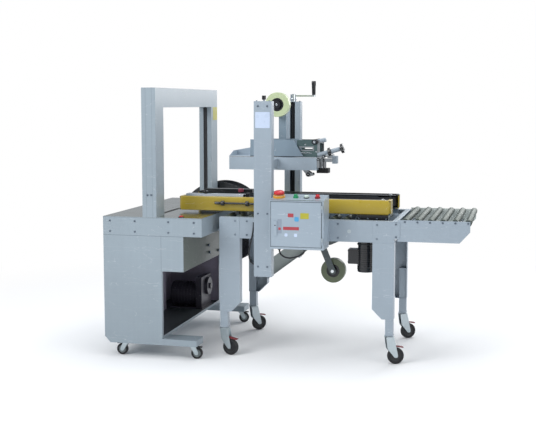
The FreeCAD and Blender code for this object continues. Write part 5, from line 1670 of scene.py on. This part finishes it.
@dataclass(frozen=True)
class SideDrive:
    """Belt drive of one side: folded guard, ribbed belt, chassis and the driven pulley."""

    side: Side
    left: float = 342.0
    right: float = 1550.0
    face: float = 224.0
    inner: float = 135.0
    low: float = 801.0
    top: float = 880.0
    sheet: float = 2.0
    bend: float = 20.0
    idler: float = 392.0
    driven: float = 1500.0
    pulley_y: float = 162.0
    pulley: float = 33.0
    belt_low: float = 815.0
    belt_high: float = 865.0

    def sided(self, surface: Surface) -> Surface:
        """Surface on this drive's side; it is drawn on the operator's side."""
        return surface if self.side is Side.NEAR else mirrored(surface)

    def named(self, word: str) -> str:
        """Name of this side's piece or node."""
        return f"{self.side.value}_{word}"

    def part(
        self, word: str, surfaces: Sequence[Surface], slot: str, bevel: float = 0.0, smooth: float = 35.0
    ) -> bpy.types.Object:
        """Piece that rides on this drive.

        Args:
            word: the piece's name without its side.
            surfaces: points and faces drawn on the operator's side.
            slot: not used.
            bevel: width in millimetres of a bevel on its sharp edges, or 0.
            smooth: edges up to this many degrees are shaded smooth.

        Returns:
            The piece.
        """
        drawn = [self.sided(surface) for surface in surfaces]
        return make_piece(self.named(word), drawn, self.named("side_drive"), bevel, smooth)

    def guard(self) -> None:
        """Folded guard: a channel's section carried round three sides with rounded corners."""
        h = self.sheet / 2
        corner = corner_round(
            [
                (self.left + h, -self.inner),
                (self.left + h, -self.face + h),
                (self.right - h, -self.face + h),
                (self.right - h, -self.inner),
            ],
            [0.01, self.bend, self.bend, 0.01],
            9,
        )
        line = corner[8:-8]
        steps = [line[:1]]
        for a, b in zip(line, line[1:]):
            count = max(1, int(np.linalg.norm(b - a) // 40))
            steps.append(a + (b - a) * (np.arange(1, count + 1) / count)[:, None])
        flat = np.concatenate(steps)
        path = np.column_stack([flat, np.full(len(flat), (self.low + self.top) / 2)])
        tall = (self.top - self.low) / 2 - h
        lip = 17.0
        t = np.radians(np.linspace(0, 90, 5))
        fold = 3.0
        upper = np.column_stack([fold - fold * np.cos(t), tall - fold + fold * np.sin(t)])
        edge = np.concatenate([[[lip, tall]], upper[::-1]])
        section = np.concatenate([edge, edge[::-1] * (1, -1)]) * (-1, 1)
        shell = carried(path, section, (0, 0, 1), closed_section=False)
        piece = self.part("guard_sheet", [shell], "guard_yellow")
        thick = piece.modifiers.new("thickness", "SOLIDIFY")
        thick.thickness, thick.offset = self.sheet * 0.9 / 1000, 0.0
        if self.side is Side.NEAR:
            dress(piece, "guard_yellow", GUARD)
        else:
            flange = Zone(BLACK_PAINT, (None, None, self.top - 4.0), (None, self.face - 3.0, None))
            dress(piece, "guard_yellow_far", GUARD, [flange])
        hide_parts(self.named("guard"))

    def belt(self) -> None:
        """Flat belt: loop round both pulleys, its outside a fine tooth wave along the loop."""
        straight = self.driven - self.idler
        loop = 2 * straight + FULL_TURN * (self.pulley + 2)
        count = int(loop / 3.0)
        s = np.arange(count) * loop / count
        r = self.pulley
        half = math.pi * (r + 2)
        runs = [s < straight, s < straight + half, s < 2 * straight + half]
        last_turn = (s - 2 * straight - half) / (r + 2) + math.pi
        turn = np.select(runs, [0.0, (s - straight) / (r + 2), math.pi], last_turn)
        x = np.select(runs, [self.idler + s, self.driven, self.driven - (s - straight - half)], self.idler)
        out = np.stack([np.sin(turn), np.cos(turn)], -1)
        wave = 4.0 - 0.7 * (np.arange(count) % 2)
        inside, outside = r + 0.35, r + wave
        rows = [
            (inside, self.belt_low),
            (inside, self.belt_high),
            (outside, self.belt_high),
            (outside, self.belt_low),
        ]
        edges = [
            np.column_stack(
                [x + out[:, 0] * a, -self.pulley_y + out[:, 1] * a, np.full(count, z)]
            ) for a, z in rows
        ]
        points = np.stack(edges, 1).reshape(-1, 3)
        piece = self.part(
            "belt_ribbed", [(points, grid_faces(count, 4, True, True))], "belt_black", 0.0, 20.0
        )
        dress(piece, "belting", BELTING)
        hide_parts(self.named("belt"))

    def chassis(self) -> None:
        """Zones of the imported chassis: bright top plate, grey gearbox, black motor, dark rail."""
        sign = -1 if self.side is Side.NEAR else 1
        bands = ((150, 250), (140, 270), (224.4, 262), (100, 224), (149, 206), (142, 168))
        gear, motor, rail, top, cover, knob = (
            tuple(sorted((sign * low, sign * high))) for low, high in bands
        )
        plate_paint = BRIGHT if self.side is Side.NEAR else BLACK_PAINT
        zones = [
            Zone(BLACK_PAINT, (None, top[0], self.top - 8.5), (None, top[1], self.top - 2)),
            Zone(plate_paint, (377.0, cover[0], self.top - 3.9), (674.0, cover[1], self.top + 14)),
            Zone(BLACK_PAINT, (717.0, knob[0], self.top - 3.9), (743.0, knob[1], self.top + 19)),
            Zone(MOTOR_GREY, (1360.0, gear[0], 660.0), (1545.0, gear[1], 800.5)),
            Zone(BLACK_PAINT, (1300.0, motor[0], 470.0), (1480.0, motor[1], 665.2)),
            Zone(SATIN_BLACK, (None, rail[0], None), (None, rail[1], self.top)),
        ]
        dress_node(self.named("drive"), DARK_STEEL, zones)
        dress_node(self.named("pulley"), STEEL)

    def motor(self) -> None:
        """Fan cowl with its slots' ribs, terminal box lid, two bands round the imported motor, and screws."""
        x, y = self.driven - 85.0, -208.0
        cowl = [
            [484.2, 0.0],
            [484.2, 30.0],
            [485.0, 40.0],
            [488.0, 44.8],
            [496.0, 45.4],
            [518.0, 45.4],
            [518.0, 43.5],
        ]
        parts = [lathe(cowl + [[518.0, 40.0]], (x, y, 0), Axis.Z, 40)]
        parts += [
            turned(slab((x - 1.5, y - 40, 483.6), (x + 1.5, y - 8, 484.4), Axis.Z), (x, y, 0), 45.0 * k)
            for k in range(8)
        ]
        parts.append(slab((x - 94.0, -238.0, 530.0), (x - 90.0, -178.0, 608.0), Axis.X, 6.0))
        parts.append(sleeve((x, y, 0), Axis.Z, 47.6, 42.5, 634.0, 641.0, 1.0))
        parts.append(sleeve((x, y, 0), Axis.Z, 48.4, 42.5, 654.0, 664.6, 1.2))
        dress(self.part("motor_cowl", parts, "drive_metal", 0.6), "motor_black", BLACK_PAINT)
        lid = [(x - 95.6, y0, z0) for y0 in (-230.0, -186.0) for z0 in (538.0, 600.0)]
        gearbox = [(1380.0 + 50.0 * k, 0, z0) for k in range(4) for z0 in (690.0, 780.0)]
        screws = [drum(place, Axis.X, 3.2, -1.0, 1.6, 0.6, 12) for place in lid]
        screws += [drum(place, Axis.Y, 5.0, -248.5, -244.8, 1.0, 14) for place in gearbox]
        dress(self.part("gear_screws", screws, "zinc_steel"), "bolt_steel", BOLT_STEEL)

    def build(self) -> None:
        """Builds and dresses the drive."""
        self.guard()
        self.belt()
        self.chassis()
        self.motor()
        axles = self.idler, self.driven
        washer = self.top - 3.9, self.top - 1.0
        caps = [sleeve((x, -self.pulley_y, 0), Axis.Z, 13.0, 8.2, *washer, 0.8, 24) for x in axles]
        nuts = [
            plate(circle(7.5, 6) + (x, -self.pulley_y), Axis.Z, self.top - 4.0, self.top + 3.0)
            for x in axles
        ]
        if self.side is Side.FAR:
            knob = [self.sided(drum((606.0, -143.0, 0), Axis.Z, 17.0, self.top - 3.9, self.top + 17.0, 4.0))]
            dress(make_piece("far_width_knob", knob, "far_side_drive"), "knob_red", KNOB_RED)
        else:
            lap = [slab((670.0, -205.5, self.top - 4.2), (716.0, -149.5, self.top + 13.6), Axis.Y, 2.0)]
            dress(make_piece("near_cover_lap", lap, "near_side_drive", 0.6), "bright", BRIGHT)
        rail = (0, -self.face - 20.0, self.low + 45.0)
        clamps = [drum(rail, Axis.X, 14.0, x - 9.6, x + 9.6, 1.6) for x in (608.0, 750.0)]
        dark = [drum(rail, Axis.X, 8.6, 560.6, 600.0, 1.5, 24)] + clamps
        dress(self.part("rail_clamps", dark, "grip_black"), "squeezer_black", SATIN_BLACK)
        dress(self.part("axle_nuts", caps + nuts, "zinc_steel", 0.5), "bright", BRIGHT)


@dataclass(frozen=True)
class ControlBox:
    """Sheet box with its sloped desk of buttons, the door and the door's blank plates."""

    left: float = 940.0
    right: float = 1232.0
    face: float = 488.0
    back: float = 338.0
    low: float = 633.0
    high: float = 893.0
    slope: float = 8.0
    door: tuple = (948.0, 1220.0, 648.0, 884.0)
    row: float = -420.0

    def on_desk(self, surface: Surface, x: float) -> Surface:
        """Surface drawn about (x, row, 0) with z up, laid on the sloped top."""
        rise = self.high + (self.row + self.face) * math.tan(math.radians(self.slope))
        tipped = turned(surface, (x, self.row, 0), self.slope, Axis.X)
        return tipped[0] + np.array([0, 0, rise]), tipped[1]

    def buttons(self) -> None:
        """Emergency stop with its collar, green and red caps with bezels and the lamp."""
        stop, green, lamp, red = 976.0, 1068.0, 1126.0, 1186.0
        head = [
            [20.2, 0.0],
            [20.2, 26.6],
            [21.6, 28.2],
            [27.0, 28.6],
            [32.0, 27.2],
            [35.6, 22.0],
            [37.8, 14.0],
            [38.3, 6.0],
            [38.4, 0.0],
        ]
        mushroom = [
            lathe(head, (stop, self.row, 0), Axis.Z, 44), drum(
                (stop, self.row, 0), Axis.Z, 8.9, -7.5, 20.6, 0.4
            )
        ]
        piece = make_piece(
            "stop_mushroom", [self.on_desk(s, stop) for s in mushroom], "stop_button"
        )
        dress(piece, "red_cap", RED_CAP)
        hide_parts("estop_button")
        collar = [[0.2, 9.2], [0.2, 32.6], [2.0, 33.0], [12.6, 32.6], [15.2, 30.8], [15.6, 28.0], [15.6, 9.2]]
        ring = make_piece(
            "stop_collar",
            [self.on_desk(lathe(collar, (stop, self.row, 0), Axis.Z, 44, True), stop)],
            "machine",
        )
        dress(ring, "yellow_collar", YELLOW_COLLAR)
        for name, x, body, node, slot, finish, ring_finish in (
            ("green_cap", green, "run_button", "green_button", "button_green", GREEN_CAP, GREEN_CAP),
            ("red_push", red, "halt_button", "red_button", "button_red", RED_CAP, DEEP_RED),
        ):
            rows = [
                [-7.5, 0.0],
                [-7.5, 7.8],
                [5.3, 7.8],
                [5.3, 10.8],
                [17.6, 10.8],
                [19.3, 9.8],
                [19.4, 8.0],
                [18.7, 6.4],
                [18.4, 0.0],
            ]
            cap = make_piece(name, [self.on_desk(lathe(rows, (x, self.row, 0), Axis.Z, 32), x)], body)
            dress(cap, name, finish)
            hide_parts(node)
            bezel = [[0.2, 11.25], [0.2, 15.4], [6.0, 15.0], [9.0, 14.2], [9.7, 12.6], [9.7, 11.25]]
            made = make_piece(
                f"{name}_bezel", [
                    self.on_desk(lathe(bezel, (x, self.row, 0), Axis.Z, 32, True), x)
                ], "machine"
            )
            dress(made, f"{name}_bezel", ring_finish)
        lens = [[0.1, 0.0], [0.1, 12.3], [14.2, 12.3], [15.4, 10.8], [16.0, 6.0], [16.2, 0.0]]
        glass = make_piece(
            "lamp_lens", [
                self.on_desk(lathe(lens, (lamp, self.row, 0), Axis.Z, 32), lamp)
            ], "machine"
        )
        dress(glass, "lamp_lens", LAMP_LENS)
        base = make_piece(
            "lamp_bezel",
            [self.on_desk(sleeve((lamp, self.row, 0), Axis.Z, 15.5, 12.4, 0.2, 4.8, 1.2, 32), lamp)],
            "machine",
        )
        dress(base, "bezel_black", SATIN_BLACK)

    def plates(self) -> None:
        """Blank plates on the door, thin slabs with rounded corners."""
        face = -self.face - 2.35
        sheets = (
            ("red", BLANK_RED, 1055.0, 815.0, 31.0, 20.0, 2.0, 0.0),
            ("red", BLANK_RED, 1057.0, 745.0, 86.0, 17.0, 2.0, 0.0),
            ("yellow", BLANK_YELLOW, 1130.0, 813.0, 46.0, 31.0, 3.0, 0.0),
            ("blue", BLANK_BLUE, 1087.0, 795.0, 24.0, 24.0, 7.0, 0.0),
            ("grey", BLANK_GREY, 995.0, 755.0, 22.0, 76.0, 3.0, 0.0),
            ("red", BLANK_RED, 995.0, 742.5, 13.0, 13.0, 1.5, 0.7),
            ("white", BLANK_WHITE, 1030.0, 710.0, 17.0, 17.0, 5.0, 0.0),
            ("white", BLANK_WHITE, 1082.0, 709.0, 17.0, 17.0, 5.0, 0.0),
        )
        shades = {}
        for name, finish, x, z, wide, tall, corner, lift in sheets:
            outline = box_outline(x - wide / 2, x + wide / 2, z - tall / 2, z + tall / 2, corner)
            shades.setdefault(name, (finish, []))[1].append(xz_plate(outline, face - 0.6 - lift, face - lift))
        for name, (finish, surfaces) in shades.items():
            dress(
                make_piece(f"door_blanks_{name}", surfaces, "box_door"), f"blank_{name}", finish
            )

    def build(self) -> None:
        """Builds and dresses the box."""
        x0, x1, z0, z1 = self.door
        gap, f = 4.5, self.face
        seams = [
            Seam((x0 - gap, -f - 1, z0 - gap), (x0, -f + 3, z1 + gap), 0.6),
            Seam((x1 - 1, -f - 1, z0 - gap), (x1 + gap, -f + 3, z1 + gap), 0.6),
            Seam((x0 - gap, -f - 1, z1), (x1 + gap, -f + 3, z1 + gap), 0.6),
            Seam((x0 - gap, -f - 1, z0 - gap), (x1 + gap, -f + 3, z0), 0.6),
        ]
        inside = Zone(
            GALVANISED, (self.left + 3, -f + 2.5, self.low + 3), (
                self.right - 3, -self.back - 2.5, self.high + 2
            )
        )
        dress_node("control_box", BOX_PAINT, [inside], seams)
        hinge = Zone(ZINC, (x1 + 0.5, -f - 9, None), (x1 + 12, -f - 0.4, None))
        dress_node("control_door", BOX_PAINT, [hinge])
        self.buttons()
        self.plates()
        face = -f - 7.0
        key = [drum((x0 + 23, 0, z0 + 112), Axis.Y, 3.4, face - 0.8, face, 0.3, 20)]
        dress(make_piece("latch_keyhole", key, "box_door"), "squeezer_black", SATIN_BLACK)
        rim = []
        for x in (975.0, 1114.0):
            rim.append(sleeve((x, -411.5, 0), Axis.Z, 12.0, 6.5, self.low - 8.0, self.low - 0.1, 1.2, 6))
            rim.append(sleeve((x, -411.5, 0), Axis.Z, 9.5, 5.2, self.low - 14.0, self.low - 7.8, 1.5, 24))
        dress(make_piece("cable_glands", rim, "machine"), "cups_black", BLACK_PLASTIC)


@dataclass(frozen=True)
class Lead:
    """Cable on its packed route."""

    name: str
    route: tuple
    diameter: float
    length: float

    def build(self) -> None:
        """NURBS curve whose control points are the route's points."""
        curve = bpy.data.curves.new(self.name, "CURVE")
        curve.dimensions = "3D"
        curve.bevel_depth = self.diameter / 2
        curve.bevel_resolution = 6
        curve.resolution_u = 10
        curve.use_fill_caps = True
        spline = curve.splines.new("NURBS")
        spline.points.add(len(self.route) - 1)
        for point, place in zip(spline.points, LAYOUT.place(self.route)):
            point.co = (*place, 1.0)
        spline.order_u = 3
        spline.use_endpoint_u = True
        piece = bpy.data.objects.new(self.name, curve)
        bpy.context.scene.collection.objects.link(piece)
        dress(piece, "cable_jacket", CABLE_JACKET)
        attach(piece, "machine")
        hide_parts("control_cable")
        start = tuple(LAYOUT.place(self.route[0]))
        log.info("%s: cord of %.3f m", self.name, self.length)


LEADS = (
    Lead(
        "box_cable",
        (
            (975.0, -412.0, 625.0),
            (975.0, -412.0, 606.0),
            (990.0, -411.0, 585.0),
            (1022.0, -408.0, 572.0),
            (1060.0, -407.0, 578.0),
            (1096.0, -409.0, 592.0),
            (1114.0, -411.0, 610.0),
            (1114.0, -411.0, 625.0),
        ),
        0.009,
        0.188,
    ),
    Lead(
        "side_conduit",
        (
            (815.0, -350.0, 757.0),
            (815.0, -350.0, 738.0),
            (811.0, -350.0, 700.0),
            (803.0, -350.0, 660.0),
            (793.0, -352.0, 622.0),
            (788.0, -354.0, 585.0),
            (793.0, -357.0, 552.0),
            (806.0, -359.0, 530.0),
            (826.4, -360.0, 522.5),
        ),
        0.009,
        0.25,
    ),
)


def main() -> None:
    """Builds the studio and every sub-assembly, in order."""
    logging.basicConfig(level=logging.INFO, format="%(message)s")
    Studio().build()
    for lead in LEADS:
        lead.build()
    Strapper().build()
    SealerFrame().build()
    Lift().build()
    TapeHeads().build()
    for side in Side:
        SideDrive(side).build()
    ControlBox().build()
    for caster in casters():
        caster.build()


if __name__ == "__main__":
    main()
